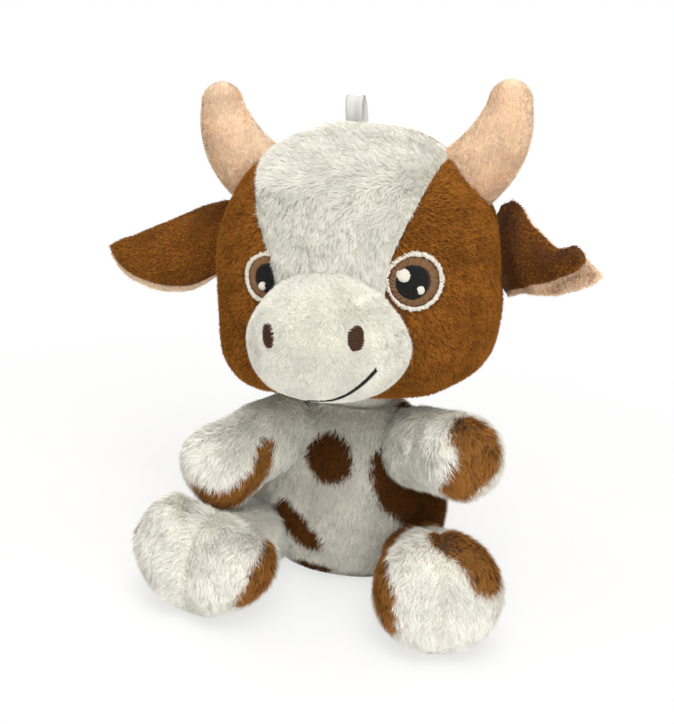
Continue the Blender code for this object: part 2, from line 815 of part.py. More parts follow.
# Head covers and stuffing
head = head_form()
core = grown(head, -stuffing_inset)
head_room = grown(head, seat_gap)
head_bulk = cutter("head_bulk", head_room, parent=head_mount)
head_reach = cutter("head_reach", grown(head, seat_gap + stitch_height), parent=head_mount)
head_seams(head)
head_covers = {"left": "brown", "right": "brown", "back": "brown", "blaze": "white"}
for panel, colour in head_covers.items():
    name = f"head_side_{panel}" if panel in ("left", "right") else f"head_{panel}"
    skin = cover(head, lambda at: head_panel(at) == panel)
    cut(piece(name, skin, finishes[colour], parent=head_mount), neck_seat)
cut(piece("head_stuffing", core, finishes["stuffing"], parent=head_mount), neck_seat)

# Muzzle and horns: hollow covers and their stuffing, cut to sit on the head
muzzle = muzzle_form()
horn = horn_form()
muzzle_bulk = cutter("muzzle_bulk", grown(muzzle, seat_gap), parent=head_mount)
muzzle_reach = cutter("muzzle_reach", grown(muzzle, seat_gap + stitch_height), parent=head_mount)
domes = (
    ("muzzle", muzzle, "white"),
    ("left_horn", horn, "peach"),
    ("right_horn", mirrored(horn), "peach"),
)
for name, form, colour in domes:
    inside = cutter(f"{name}_inside", grown(form, -cover_thickness), parent=head_mount)
    skin = piece(f"{name}_cover", form, finishes[colour], parent=head_mount)
    cut(skin, inside)
    cut(skin, head_bulk)
    core = grown(form, -stuffing_inset)
    cut(piece(f"{name}_stuffing", core, finishes["stuffing"], parent=head_mount), head_bulk)

# Embroidery: each motif is a prism trimmed to lie on the fabric
eye_outline = oval(eye_radius, eye_radius, eye_sides)
nostril_outline = oval(nostril_half_width, nostril_half_height, nostril_sides)
muzzle_through = muzzle_bulge + cut_overrun
for side, word in ((1.0, "left"), (-1.0, "right")):
    eye_depth = head_face(eye_spread, eye_rise)
    eye_place = head_centre + Vector((side * eye_spread, -eye_depth, eye_rise))
    eye_sunk = Matrix.Translation((0.0, 0.0, -cut_overrun))
    eye_frame = facing(eye_place, side * eye_turn) @ eye_sunk
    eye = moved(prism(eye_outline, cut_overrun + eye_radius), eye_frame)
    eye = piece(f"{word}_eye", eye, finishes["black_thread"], parent=head_mount)
    cut(eye, head_reach, "INTERSECT")
    cut(eye, head_bulk)
    cut(eye, muzzle_bulk)
    nostril_place = Vector((side * nostril_spread, muzzle_centre.y, head_centre.z - nostril_drop))
    nostril = moved(prism(nostril_outline, muzzle_through), facing(nostril_place, 0.0))
    nostril = piece(f"{word}_nostril", nostril, finishes["brown_thread"], parent=head_mount)
    cut(nostril, muzzle_reach, "INTERSECT")
    cut(nostril, muzzle_bulk)
smile_place = Vector((0.0, muzzle_centre.y, head_centre.z))
smile = moved(prism(smile_outline(), muzzle_through), facing(smile_place, 0.0))
smile = piece("smile_stitch", smile, finishes["black_thread"], parent=head_mount)
cut(smile, muzzle_reach, "INTERSECT")
cut(smile, muzzle_bulk)

# Ears, hinged on their root lines
ears = (
    ("left", 1.0, left_ear_swing, left_ear_drop, left_ear_flap),
    ("right", -1.0, right_ear_swing, right_ear_drop, right_ear_flap),
)
for word, side, swing, drop, flap in ears:
    place = ear_frame(swing)
    to_root = Matrix.Translation(place.translation)
    root_line = place.col[1].to_3d()
    room = []
    for turn in (0.0, *flap):
        swept = to_root @ Matrix.Rotation(-turn, 4, root_line) @ to_root.inverted()
        form = moved(head_room, swept)
        form = form if side > 0.0 else mirrored(form)
        room.append(cutter(f"{word}_ear_room", form, parent=head_mount))
    for face, pad, colour in ((1.0, "back", "brown"), (-1.0, "lining", "peach")):
        form = moved(ear_pad(face, drop), place)
        root = place.translation.copy()
        if side < 0.0:
            form = mirrored(form)
            root.x = -root.x
        pad = piece(f"{word}_ear_{pad}", form, finishes[colour], pivot=root, parent=head_mount)
        for tool in room:
            cut(pad, tool)

# Hang loop on the crown seam
loop_foot = head_centre + Vector((0.0, back_seam_y, head_above))
loop = moved(ribbon_loop(), Matrix.Translation(loop_foot))
loop = piece("hang_loop", loop, finishes["ribbon"], pivot=loop_foot, parent=head_mount)
cut(loop, head_bulk)

# Tail on the back seam
tail_root = on_torso(tail_height, math.pi) + Vector((0.0, tail_radius + seat_gap, 0.0))
tail_frame = Matrix.Translation(tail_root) @ Matrix.Rotation(-math.pi / 2.0 - tail_droop, 4, "X")
tail = moved(tail_form(), tail_frame)
piece("tail", tail, finishes["brown"], pivot=tail_root)
tuft = piece("tail_tuft", moved(tuft_form(), tail_frame), finishes["white"], pivot=tail_root)
cut(tuft, cutter("tail_bore", grown(tail, fit_gap)))
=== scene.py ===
import math

import bmesh
import bpy
import numpy as np
from mathutils import Matrix, Vector, noise
from mathutils.bvhtree import BVHTree


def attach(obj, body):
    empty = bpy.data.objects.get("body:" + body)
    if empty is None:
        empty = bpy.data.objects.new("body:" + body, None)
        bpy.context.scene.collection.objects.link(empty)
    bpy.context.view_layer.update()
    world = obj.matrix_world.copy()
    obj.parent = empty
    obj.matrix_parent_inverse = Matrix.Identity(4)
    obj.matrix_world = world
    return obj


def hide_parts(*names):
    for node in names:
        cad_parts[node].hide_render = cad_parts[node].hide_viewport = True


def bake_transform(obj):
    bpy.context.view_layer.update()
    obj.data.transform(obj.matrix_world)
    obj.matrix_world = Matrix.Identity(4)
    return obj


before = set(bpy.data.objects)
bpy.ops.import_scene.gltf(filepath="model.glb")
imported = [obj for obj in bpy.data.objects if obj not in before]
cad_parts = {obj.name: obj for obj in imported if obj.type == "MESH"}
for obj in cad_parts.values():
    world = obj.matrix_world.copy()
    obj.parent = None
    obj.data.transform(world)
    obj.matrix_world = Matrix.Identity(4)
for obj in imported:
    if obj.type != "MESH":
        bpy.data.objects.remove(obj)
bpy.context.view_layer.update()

# Sizes are in metres and angles in degrees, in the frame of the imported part.
toyLook = {"furShare": 1.0, "fabric": 0.0012, "seed": 7}
bothSides = (("left", 1.0), ("right", -1.0))

plushColours = {
    "white": (0.86, 0.848, 0.784),
    # the root colours are painted shade at the roots of the pile; the backing cloth under the pile
    # takes them too
    "whiteRootShade": (0.785, 0.768, 0.688),
    "brown": (0.330, 0.122, 0.018),
    "brownRootShade": (0.125, 0.040, 0.005),
    # the body's white is painted darker, as shade under the head, and the limbs' white lighter, as
    # light falling on them
    "bodyWhiteShaded": (0.78, 0.765, 0.69),
    "bodyRootShaded": (0.68, 0.66, 0.58),
    "spot": (0.125, 0.044, 0.008),
    "spotRootShade": (0.050, 0.016, 0.003),
    "limbWhiteLit": (0.95, 0.94, 0.88),
    "limbLitRootShade": (0.88, 0.86, 0.79),
    # the limbs' brown is lighter than the body's spots: partly a different print, partly painted
    # light on the limbs
    "limbSpot": (0.430, 0.185, 0.045),
    "limbSpotRootShade": (0.150, 0.055, 0.011),
    "peach": (0.95, 0.80, 0.61),
    "peachRootShade": (0.86, 0.62, 0.44),
    "threadBlack": (0.010, 0.010, 0.012),
    "threadBrown": (0.075, 0.030, 0.014),
    # the near-black ground under the eyes' and nostrils' stitches is painted shade in the gaps
    # between them
    "threadGapShade": (0.040, 0.015, 0.007),
    "irisBrown": (0.275, 0.145, 0.066),
    "threadWhite": (0.84, 0.80, 0.71),
    "ribbon": (0.76, 0.76, 0.74),
}


# rounded shapes, worked out on arrays
def signedPower(value, power):
    return np.sign(value) * np.abs(value) ** power


def roundShare(share, corner):  # half-breadth of a rounded square at a share of its half-height
    return np.maximum(1.0 - np.abs(share) ** corner, 0.0) ** (1.0 / corner)


def smoothTable(shares, atShares, values):  # a smooth curve through tabled values
    at, held = np.array(atShares, float), np.array(values, float)
    slopes = np.gradient(held, at)
    index = np.clip(np.searchsorted(at, shares, side="right") - 1, 0, len(at) - 2)
    gap = at[index + 1] - at[index]
    s = np.clip((shares - at[index]) / gap, 0.0, 1.0)
    first = (1 + 2 * s) * (1 - s) ** 2 * held[index] + s * (1 - s) ** 2 * gap * slopes[index]
    return first + s * s * (3 - 2 * s) * held[index + 1] + s * s * (s - 1) * gap * slopes[index + 1]


def smoothStep(low, high, value):
    s = np.clip((value - low) / (high - low), 0.0, 1.0)
    return s * s * (3.0 - 2.0 * s)


def ringGrid(centres, halfWidths, fronts, backs, columns, corner):
    turn = np.arange(columns) / columns * math.tau
    across = signedPower(np.sin(turn), 2.0 / corner)
    along = signedPower(-np.cos(turn), 2.0 / corner)
    x = np.asarray(halfWidths)[:, None] * across
    depth = np.where(along > 0.0, np.asarray(backs)[:, None], np.asarray(fronts)[:, None])
    grid = np.stack([x, depth * along, np.zeros_like(x)], axis=2)
    return grid + np.asarray(centres)[:, None, :]


def closedSkin(grid, bottom=None, top=None):  # a mesh round the rings, with its poles closed
    rows, columns = grid.shape[:2]
    points = grid.reshape(-1, 3).tolist()
    step = np.arange(columns)
    after = (step + 1) % columns
    faces = []
    for row in range(rows - 1):
        low, high = row * columns, (row + 1) * columns
        faces += np.stack([low + step, low + after, high + after, high + step], 1).tolist()
    if bottom is not None:
        points.append(list(bottom))
        faces += [[int(b), int(a), len(points) - 1] for a, b in zip(step, after)]
    if top is not None:
        points.append(list(top))
        last = (rows - 1) * columns
        faces += [[int(last + a), int(last + b), len(points) - 1] for a, b in zip(step, after)]
    mesh = bpy.data.meshes.new("form")
    mesh.from_pydata(points, [], faces)
    mesh.update()
    return mesh


def pointsOf(mesh):
    found = np.empty(len(mesh.vertices) * 3, np.float32)
    mesh.vertices.foreach_get("co", found)
    return found.reshape(-1, 3).astype(float)


def normalsOf(mesh):
    found = np.empty(len(mesh.vertices) * 3, np.float32)
    mesh.vertex_normals.foreach_get("vector", found)
    return found.reshape(-1, 3).astype(float)


def setPoints(mesh, points):
    mesh.vertices.foreach_set("co", np.ascontiguousarray(points, np.float32).ravel())
    mesh.update()


def lumps(points, size, seed):  # soft uneven stuffing, about -1 to 1
    offset = Vector((seed * 3.1, seed * 1.7, seed * 2.3))
    return np.array([noise.noise(Vector(point) / size + offset) for point in points])


def placed(points, matrix):
    held = np.array(matrix)
    return points @ held[:3, :3].T + held[:3, 3]


def unit(vectors):
    return vectors / np.maximum(np.linalg.norm(vectors, axis=1, keepdims=True), 1e-9)


def treeOf(mesh):
    return BVHTree.FromPolygons([v.co for v in mesh.vertices], [p.vertices for p in mesh.polygons])


def depthIn(points, tree):  # how deep points lie inside a closed form, below 0 outside
    found = np.empty(len(points))
    for index, point in enumerate(points):
        place, normal, _, far = tree.find_nearest(Vector(point))
        found[index] = -math.copysign(far, (Vector(point) - place).dot(normal))
    return found


torsoShape = {
    "halfWidth": 0.0405, "front": 0.0350, "back": 0.0330, "height": 0.0720, "lean": 0.0090,
    "corner": 2.2, "sideSeam": -0.0020, "inset": 0.0016, "columns": 112, "rows": 72,
    "soft": (0.0010, 0.020, 9), "baseCut": 0.0004,
    "heights": (0.0, 0.07, 0.18, 0.32, 0.46, 0.60, 0.73, 0.85, 0.94, 1.0),
    "girths": (0.66, 0.82, 0.95, 1.0, 0.97, 0.89, 0.80, 0.70, 0.58, 0.44),
}


def torsoGirth(heights):
    shape = torsoShape
    return smoothTable(heights / shape["height"], shape["heights"], shape["girths"])


def torsoSkin():
    shape = torsoShape
    heights = shape["height"] * np.linspace(0.0, 1.0, shape["rows"])
    girth = torsoGirth(heights)
    centres = np.stack(
        [heights * 0.0, -shape["lean"] * (heights / shape["height"]) ** 2, heights], axis=1
    )
    sizes = (shape[side] * girth for side in ("halfWidth", "front", "back"))
    grid = ringGrid(centres, *sizes, shape["columns"], shape["corner"])
    return closedSkin(grid, centres[0], centres[-1])


def onTorso(height, bearing):
    shape = torsoShape
    girth = float(torsoGirth(np.array([height]))[0])
    depth = shape["front"] if math.cos(bearing) > 0.0 else shape["back"]
    lean = -shape["lean"] * (height / shape["height"]) ** 2
    along = -math.cos(bearing) * depth * girth
    return Vector((math.sin(bearing) * shape["halfWidth"] * girth, lean + along, height))


headShape = {
    "halfWidth": 0.0550, "front": 0.0480, "back": 0.0460, "above": 0.0520, "below": 0.0490,
    "centre": (0.0, 0.0064, 0.0445), "crown": 2.15, "jowl": 3.4, "plan": 2.25,
    "turn": -6.0, "tilt": -7.5, "pivot": (0.0, -0.009, 0.0785), "inset": 0.0014,
    "backSeam": 0.0060, "blazeEnd": 0.0150, "blazeBend": 0.0100,
    "blazeWide": {"low": (0.0205, 0.15), "high": (0.0177, 0.433)},  # half width and its slope
    "cheek": {"left": 0.0012, "right": 0.0050}, "cheekAt": (0.040, -0.035),
    "cheekSize": (0.016, 0.014), "eyeHollow": (0.0010, 0.0125),
    "lumps": ((0.0009, 0.022, 1), (0.0004, 0.009, 2)),  # height, span and seed of each
    "columns": 148, "rows": 104,
}


def headGirth(height):
    shape = headShape
    if height > 0.0:
        return float(roundShare(height / shape["above"], shape["crown"]))
    return float(roundShare(height / shape["below"], shape["jowl"]))


def headSide(depth, height):
    shape, girth = headShape, headGirth(height)
    reach = (shape["back"] if depth > 0.0 else shape["front"]) * girth
    return shape["halfWidth"] * girth * float(roundShare(depth / reach, shape["plan"]))


def headSkin():
    shape = headShape
    rise = -np.cos(np.pi * np.arange(1, shape["rows"]) / shape["rows"])
    heights = rise * np.where(rise > 0.0, shape["above"], shape["below"])
    girth = np.array([headGirth(height) for height in heights])
    centre = np.array(shape["centre"])
    centres = centre + np.stack([heights * 0.0, heights * 0.0, heights], axis=1)
    sizes = (shape[side] * girth for side in ("halfWidth", "front", "back"))
    grid = ringGrid(centres, *sizes, shape["columns"], shape["plan"])
    up = np.array((0.0, 0.0, 1.0))
    return closedSkin(grid, centre - up * shape["below"], centre + up * shape["above"])


headPlace = (
    Matrix.Translation(headShape["pivot"])
    @ Matrix.Rotation(math.radians(headShape["turn"]), 4, "Z")
    @ Matrix.Rotation(math.radians(headShape["tilt"]), 4, "Y")
)
headCentre = Vector(headShape["centre"])

muzzleShape = {
    "halfWidth": 0.0300, "halfHeight": 0.0240, "bulge": 0.0300, "root": 0.0080, "sink": 0.0070,
    "drop": 0.0170, "corner": 2.3, "frontCorner": 2.35, "columns": 120, "rows": 60,
    "soft": (0.0005, 0.016, 3), "inset": 0.0006,
    "crease": {"height": 0.00018, "wide": 0.011, "high": 0.006, "drop": 0.0125, "wave": 0.00055},
    "narrowTop": {"left": (0.27, -0.026, 0.008), "right": (0.17, -0.018, 0.006)},
}
muzzleCentre = headCentre + Vector(
    (0.0, muzzleShape["sink"] - headShape["front"], -muzzleShape["drop"])
)


def muzzleSkin():
    shape = muzzleShape
    angle = np.pi / 2.0 * np.arange(shape["rows"]) / shape["rows"]
    out = np.sin(angle) ** (2.0 / shape["frontCorner"])
    girth = np.concatenate([[1.0, 1.0], roundShare(out, shape["frontCorner"])])
    depths = np.concatenate([[-shape["root"], -shape["root"] / 2.0], shape["bulge"] * out])
    centres = np.stack([depths * 0.0, depths * 0.0, depths], axis=1)
    wide, high = shape["halfWidth"] * girth, shape["halfHeight"] * girth
    grid = ringGrid(centres, wide, high, high, shape["columns"], shape["corner"])
    mesh = closedSkin(grid, (0.0, 0.0, -shape["root"]), (0.0, 0.0, shape["bulge"]))
    mesh.transform(Matrix.Translation(muzzleCentre) @ Matrix.Rotation(math.pi / 2.0, 4, "X"))
    mesh.update()
    return mesh


armShape = {
    "root": 0.0125, "end": 0.0160, "reach": 0.0310, "cap": 0.0130, "swell": 1.3, "inset": 0.0014,
    "height": 0.0580, "bearing": 58.0, "aim": {"left": (38.0, 15.0), "right": (45.0, -23.0)},
    "fuller": {"left": 0.0018, "right": 0.0004}, "fullerAt": (0.008, 0.014),
    "lumps": 0.0010, "lumpSpan": 0.014,
}
legShape = {
    "root": 0.0140, "end": 0.0218, "reach": 0.0450, "cap": 0.0150, "swell": 1.9, "inset": 0.0014,
    "height": 0.0144, "bearing": 50.0, "aim": {"left": (17.0, 8.82), "right": (17.0, 8.82)},
    "lumps": 0.0010, "lumpSpan": 0.014,
}
limbRings = {"start": -0.66, "shaft": 46, "cap": 24, "columns": 84, "capCorner": 2.5}


def limbProfile(shape, along):  # radius at a distance along the limb from its root's middle
    root, end, reach, cap = (shape[key] for key in ("root", "end", "reach", "cap"))
    ball = np.sqrt(np.maximum(root**2 - np.minimum(along, 0.0) ** 2, 0.0))
    shaft = root + (end - root) * np.clip(along / reach, 0.0, 1.0) ** shape["swell"]
    tip = end * roundShare(np.clip((along - reach) / cap, 0.0, 1.0), limbRings["capCorner"])
    return np.where(along < 0.0, ball, np.where(along <= reach, shaft, tip))


def limbSkin(shape):
    start = limbRings["start"] * shape["root"]
    shaft = np.linspace(start, shape["reach"], limbRings["shaft"])[:-1]
    turn = np.pi / 2.0 * np.arange(limbRings["cap"]) / limbRings["cap"]
    cap = shape["reach"] + shape["cap"] * np.sin(turn)
    along = np.concatenate([shaft, cap])
    radius = limbProfile(shape, along)
    centres = np.stack([along * 0.0, along * 0.0, along], axis=1)
    grid = ringGrid(centres, radius, radius, radius, limbRings["columns"], 2.0)
    low, high = (0.0, 0.0, start), (0.0, 0.0, shape["reach"] + shape["cap"])
    return closedSkin(grid, low, high)


def limbPlace(shape, word):
    side = 1.0 if word == "left" else -1.0
    bearing, rise = (math.radians(angle) for angle in shape["aim"][word])
    root = onTorso(shape["height"], side * math.radians(shape["bearing"]))
    flat = math.cos(rise)
    way = Vector((math.sin(side * bearing) * flat, -math.cos(bearing) * flat, math.sin(rise)))
    across = Vector((0.0, 0.0, 1.0)).cross(way).normalized()
    turn = Matrix((across, way.cross(across), way)).transposed().to_4x4()
    return Matrix.Translation(root) @ turn


def smoothPath(points, count):  # a Catmull-Rom curve through points
    held = np.array([2 * np.array(points[0]) - np.array(points[1]), *points,
                     2 * np.array(points[-1]) - np.array(points[-2])])
    at = np.linspace(0.0, len(points) - 1.0, count)
    index = np.minimum(at.astype(int), len(points) - 2)
    s = (at - index)[:, None]
    a, b, c, d = (held[index + shift] for shift in range(4))
    return 0.5 * (2 * b + (c - a) * s + (2 * a - 5 * b + 4 * c - d) * s**2
                  + (3 * b - a - 3 * c + d) * s**3)


def tubeSkin(path, radii, columns, bottom=True):  # rings round a path, each square to it
    ways = unit(np.gradient(path, axis=0))
    turn = np.arange(columns) / columns * math.tau
    grid = []
    for place, way, radius in zip(path, ways, radii):
        spin = np.array(Vector((0.0, 0.0, 1.0)).rotation_difference(Vector(way)).to_matrix())
        flat = np.stack([np.sin(turn), -np.cos(turn), turn * 0.0], axis=1) * radius
        grid.append(place + flat @ spin.T)
    return closedSkin(np.array(grid), path[0] if bottom else None, path[-1])


hornShape = {
    "rise": 0.0340, "back": 0.0060, "length": 0.0345, "root": 0.0128, "tip": 0.0078,
    "sink": 0.0080, "lean": 46.0, "curl": 52.0, "sweep": 8.0, "columns": 56, "rows": 60,
    "bends": 7, "tipRings": 14,
}


def hornSkin(side):
    shape = hornShape
    lean, curl = math.radians(shape["lean"]), math.radians(shape["curl"])
    start = headCentre + Vector(
        (headSide(shape["back"], shape["rise"]), shape["back"], shape["rise"])
    )
    place = np.zeros(3)
    heading = np.array((math.sin(lean), 0.0, math.cos(lean)))
    path, radii = [place - heading * shape["sink"]], [shape["root"]]
    bends, tipRings = shape["bends"], shape["tipRings"]
    for step in range(bends):
        angle = lean - curl * step / bends
        heading = np.array((math.sin(angle), 0.0, math.cos(angle)))
        path.append(place.copy())
        radii.append(shape["root"] + (shape["tip"] - shape["root"]) * ((step + 1) / bends) ** 2)
        if step < bends - 1:
            place = place + heading * shape["length"] / bends
    body = smoothPath(path, shape["rows"])
    size = np.interp(np.linspace(0.0, len(path) - 1.0, shape["rows"]), range(len(path)), radii)
    turn = np.pi / 2.0 * np.arange(1, tipRings + 1) / (tipRings + 1.0)
    tip = place + np.outer(np.sin(turn), heading) * shape["tip"]
    size = np.concatenate([size, shape["tip"] * np.cos(turn)])
    mesh = tubeSkin(np.concatenate([body, tip]), size, shape["columns"])
    sweep = Matrix.Rotation(-math.radians(shape["sweep"]), 4, "X")
    mesh.transform(Matrix.Translation(start) @ sweep)
    if side < 0.0:
        mesh.transform(Matrix.Diagonal((-1.0, 1.0, 1.0, 1.0)))
        mesh.flip_normals()
    mesh.update()
    return mesh


earShape = {
    "rise": 0.0070, "back": 0.0050, "pad": 0.0026, "edge": 0.30, "cup": 0.0045, "cupWidth": 0.0142,
    "tipLift": 0.0030, "pitch": 30.0, "rootLean": 7.0, "swing": {"left": -35.0, "right": 20.0},
    "fold": {"left": 0.0022, "right": 0.0}, "foldAt": 0.27, "foldWidth": 0.11, "swellBy": 0.24,
    "leastHalf": 0.0040, "pastEdge": 1.3, "gap": 0.0001, "sink": 0.0052, "rows": 44,
    "rowPower": 1.6, "columns": 26,
}
earPads = {  # length, then shares of it with the upper and the lower edge there
    "left_ear_back": {
        "length": 0.0434,
        "at": (0.0, 0.08, 0.17, 0.25, 0.33, 0.43, 0.54, 0.64, 0.75, 0.86, 0.95, 1.0),
        "upper": (0.0188, 0.0164, 0.0126, 0.0082, 0.0034, -0.0012, -0.0060, -0.0094, -0.0106,
                  -0.0114, -0.0142, -0.0172),
        "lower": (-0.0162, -0.0168, -0.0176, -0.0182, -0.0186, -0.0192, -0.0196, -0.0197, -0.0199,
                  -0.0198, -0.0190, -0.0180),
    },
    "left_ear_lining": {
        "length": 0.0460,
        "at": (0.0, 0.08, 0.19, 0.31, 0.46, 0.60, 0.75, 0.86, 0.95, 1.0),
        "upper": (0.0178, 0.0152, 0.0104, 0.0036, -0.0040, -0.0104, -0.0128, -0.0150, -0.0192,
                  -0.0228),
        "lower": (-0.0178, -0.0184, -0.0202, -0.0222, -0.0239, -0.0250, -0.0257, -0.0259, -0.0256,
                  -0.0244),
    },
    "right_ear_back": {
        "length": 0.0566,
        "at": (0.0, 0.10, 0.24, 0.33, 0.45, 0.53, 0.73, 0.88, 0.96, 1.0),
        "upper": (0.0182, 0.0180, 0.0167, 0.0154, 0.0123, 0.0099, 0.0040, -0.0010, -0.0034,
                  -0.0062),
        "lower": (-0.0112, -0.0132, -0.0171, -0.0189, -0.0196, -0.0198, -0.0182, -0.0149, -0.0112,
                  -0.0080),
    },
    "right_ear_lining": {
        "length": 0.0574,
        "at": (0.0, 0.10, 0.24, 0.33, 0.45, 0.53, 0.73, 0.88, 0.96, 1.0),
        "upper": (0.0172, 0.0170, 0.0157, 0.0144, 0.0113, 0.0089, 0.0030, -0.0020, -0.0046,
                  -0.0076),
        "lower": (-0.0112, -0.0136, -0.0180, -0.0202, -0.0213, -0.0216, -0.0200, -0.0168, -0.0130,
                  -0.0094),
    },
}


def earPad(name, face):  # face is 1 for the brown back and -1 for the lining
    shape, pad, word = earShape, earPads[name], name.split("_")[0]
    rows = 1.0 - (1.0 - np.linspace(0.0, 1.0, shape["rows"])) ** shape["rowPower"]
    rows = np.concatenate([[-shape["sink"] / pad["length"]], rows])
    columns = np.sin(np.linspace(-np.pi / 2.0, np.pi / 2.0, shape["columns"]))
    along, across = np.meshgrid(rows, columns, indexing="ij")
    upper, lower = (smoothTable(np.maximum(along, 0.0), pad["at"], pad[edge])
                    for edge in ("upper", "lower"))
    half = np.maximum((upper - lower) / 2.0, 0.0002)
    x = pad["length"] * along
    y = (upper + lower) / 2.0 + half * across
    swell = shape["edge"] + (1.0 - shape["edge"]) * np.clip(along / shape["swellBy"], 0.0, 1.0)
    # both pads bend over one middle face, the brown one's
    back = earPads[f"{word}_ear_back"]
    share = np.clip(x / back["length"], 0.0, 1.0)
    top, foot = (smoothTable(share, back["at"], back[edge]) for edge in ("upper", "lower"))
    wide = np.maximum((top - foot) / 2.0, shape["leastHalf"])
    off = np.clip((y - (top + foot) / 2.0) / wide, -shape["pastEdge"], shape["pastEdge"])
    middle = shape["tipLift"] * along**2 - shape["cup"] * off**2 * wide / shape["cupWidth"]
    folded = np.exp(-(((along - shape["foldAt"]) / shape["foldWidth"]) ** 2))
    middle += shape["fold"][word] * folded
    crown = np.sqrt(np.maximum(1.0 - across**2, 0.0))
    thick = shape["pad"] * (shape["edge"] + (1.0 - shape["edge"]) * crown) * swell
    near = np.stack([x, y, middle + face * shape["gap"]], axis=2)
    far = np.stack([x, y, middle + face * (shape["gap"] + thick)], axis=2)
    count = x.size
    index = np.arange(count).reshape(x.shape)
    corners = [index[:-1, :-1], index[1:, :-1], index[1:, 1:], index[:-1, 1:]]
    quads = np.stack([corner.ravel() for corner in corners], axis=1)
    rim = np.concatenate([index[0, :], index[1:, -1], index[-1, -2::-1], index[-2:0:-1, 0]])
    after = np.roll(rim, -1)
    faces = quads.tolist() + (quads[:, ::-1] + count).tolist()
    faces += np.stack([rim, after, after + count, rim + count], axis=1).tolist()
    mesh = bpy.data.meshes.new("ear")
    mesh.from_pydata(np.concatenate([far.reshape(-1, 3), near.reshape(-1, 3)]).tolist(), [], faces)
    mesh.transform(earPlace(word))
    if word == "right":
        mesh.transform(Matrix.Diagonal((-1.0, 1.0, 1.0, 1.0)))
    held = bmesh.new()
    held.from_mesh(mesh)
    bmesh.ops.recalc_face_normals(held, faces=held.faces)
    held.to_mesh(mesh)
    held.free()
    mesh.update()
    return mesh


def earPlace(word):
    shape = earShape
    root = headCentre + Vector(
        (headSide(shape["back"], shape["rise"]), shape["back"], shape["rise"])
    )
    pitched = Matrix.Rotation(math.pi / 2.0 - math.radians(shape["pitch"]), 4, "X")
    leaned = Matrix.Rotation(-math.radians(shape["rootLean"]), 4, "Y")
    swung = Matrix.Rotation(math.radians(shape["swing"][word]), 4, "Y")
    return Matrix.Translation(root) @ leaned @ pitched @ swung


class Socket:  # a value in a shader, so that maths on it reads as maths
    def __init__(self, shader, output):
        self.shader, self.output = shader, output

    def maths(self, operation, *values):
        return self.shader.node("ShaderNodeMath", {"operation": operation}, *values)

    def __add__(self, other):
        return self.maths("ADD", self, other)

    def __sub__(self, other):
        return self.maths("SUBTRACT", self, other)

    def __mul__(self, other):
        return self.maths("MULTIPLY", self, other)

    def __rsub__(self, other):
        return self.maths("SUBTRACT", other, self)

    __radd__ = __add__
    __rmul__ = __mul__

    def between(self, low, high):  # 0 at low, 1 at high, soft between
        settings = {"interpolation_type": "SMOOTHSTEP"}
        return self.shader.node("ShaderNodeMapRange", settings, self, low, high)


class Shader:
    def __init__(self, name):
        self.material = bpy.data.materials.new(name)
        self.material.use_nodes = True
        self.nodes = self.material.node_tree.nodes
        self.links = self.material.node_tree.links
        self.main = self.nodes["Principled BSDF"]

    def node(self, kind, settings, *values, output=0, **named):
        made = self.nodes.new(kind)
        for key, value in settings.items():
            setattr(made, key, value)
        for place, value in enumerate(values):
            self.feed(made.inputs[place], value)
        for key, value in named.items():
            self.feed(made.inputs[key], value)
        return Socket(self, made.outputs[output])

    def feed(self, socket, value):
        if isinstance(value, Socket):
            self.links.new(value.output, socket)
        elif value is not None:
            socket.default_value = value

    def mix(self, factor, first, second):
        made = self.nodes.new("ShaderNodeMix")
        made.data_type = "RGBA"
        for name, value in (("Factor_Float", factor), ("A_Color", first), ("B_Color", second)):
            socket = next(s for s in made.inputs if s.identifier == name)
            self.feed(socket, (*value, 1.0) if isinstance(value, tuple) else value)
        return Socket(self, next(s for s in made.outputs if s.identifier == "Result_Color"))

    def attribute(self, name, output="Fac"):
        return self.node("ShaderNodeAttribute", {"attribute_name": name}, output=output)

    def place(self):
        return self.node("ShaderNodeTexCoord", {}, output="Object")

    def speckle(self, scale, detail=2.0, roughness=0.5):
        kept = {"noise_dimensions": "3D"}
        return self.node("ShaderNodeTexNoise", kept, Vector=self.place(), Scale=scale,
                         Detail=detail, Roughness=roughness)

    def bump(self, height, distance, strength=1.0):
        return self.node("ShaderNodeBump", {}, Height=height, Distance=distance,
                         Strength=strength, output="Normal")

    def finish(self, **sockets):
        for name, value in sockets.items():
            socket = self.main.inputs[name.replace("_", " ")]
            self.feed(socket, (*value, 1.0) if isinstance(value, tuple) else value)
        return self.material


strandLook = {"patchScale": 85.0, "patchDetail": 4.0, "patchRough": 0.65, "gloss": 0.06,
              "rough": 0.75, "roughSpread": 0.15}


def strandMaterial(name, tip, root, spotTip=None, spotRootShade=None, contrast=0.30):
    made, look = Shader(name), strandLook
    along, tint = made.attribute("along"), made.attribute("tint")
    # the pile is painted darker towards its roots, as shade between the strands
    colour = made.mix(along.between(0.0, 0.75), root, tip)
    if spotTip:
        spot = made.mix(along.between(0.0, 0.8), spotRootShade, spotTip)
        colour = made.mix(made.attribute("spot"), colour, spot)
    patchy = made.speckle(look["patchScale"], look["patchDetail"], look["patchRough"])
    patchy = patchy.between(0.34, 0.66)
    shade = tint * contrast + patchy * contrast + (1.0 - contrast)
    grey = made.node("ShaderNodeCombineColor", {}, shade, shade, shade)
    mixed = made.node("ShaderNodeMix", {"data_type": "RGBA", "blend_type": "MULTIPLY"}, output=2)
    inputs = {s.identifier: s for s in mixed.output.node.inputs}
    made.feed(inputs["Factor_Float"], 1.0)
    made.feed(inputs["A_Color"], colour)
    made.feed(inputs["B_Color"], grey)
    made.main.inputs["Specular IOR Level"].default_value = look["gloss"]
    return made.finish(Base_Color=mixed, Roughness=tint * look["roughSpread"] + look["rough"])


clothLook = {"weaveScale": 900.0, "patchScale": 60.0, "edgeScale": 700.0, "edgeFuzz": 0.003,
             "dark": 0.80, "worn": 0.7, "depth": 0.0004, "gloss": 0.15, "sheen": 0.15,
             "rough": 0.85, "roughSpread": 0.1}


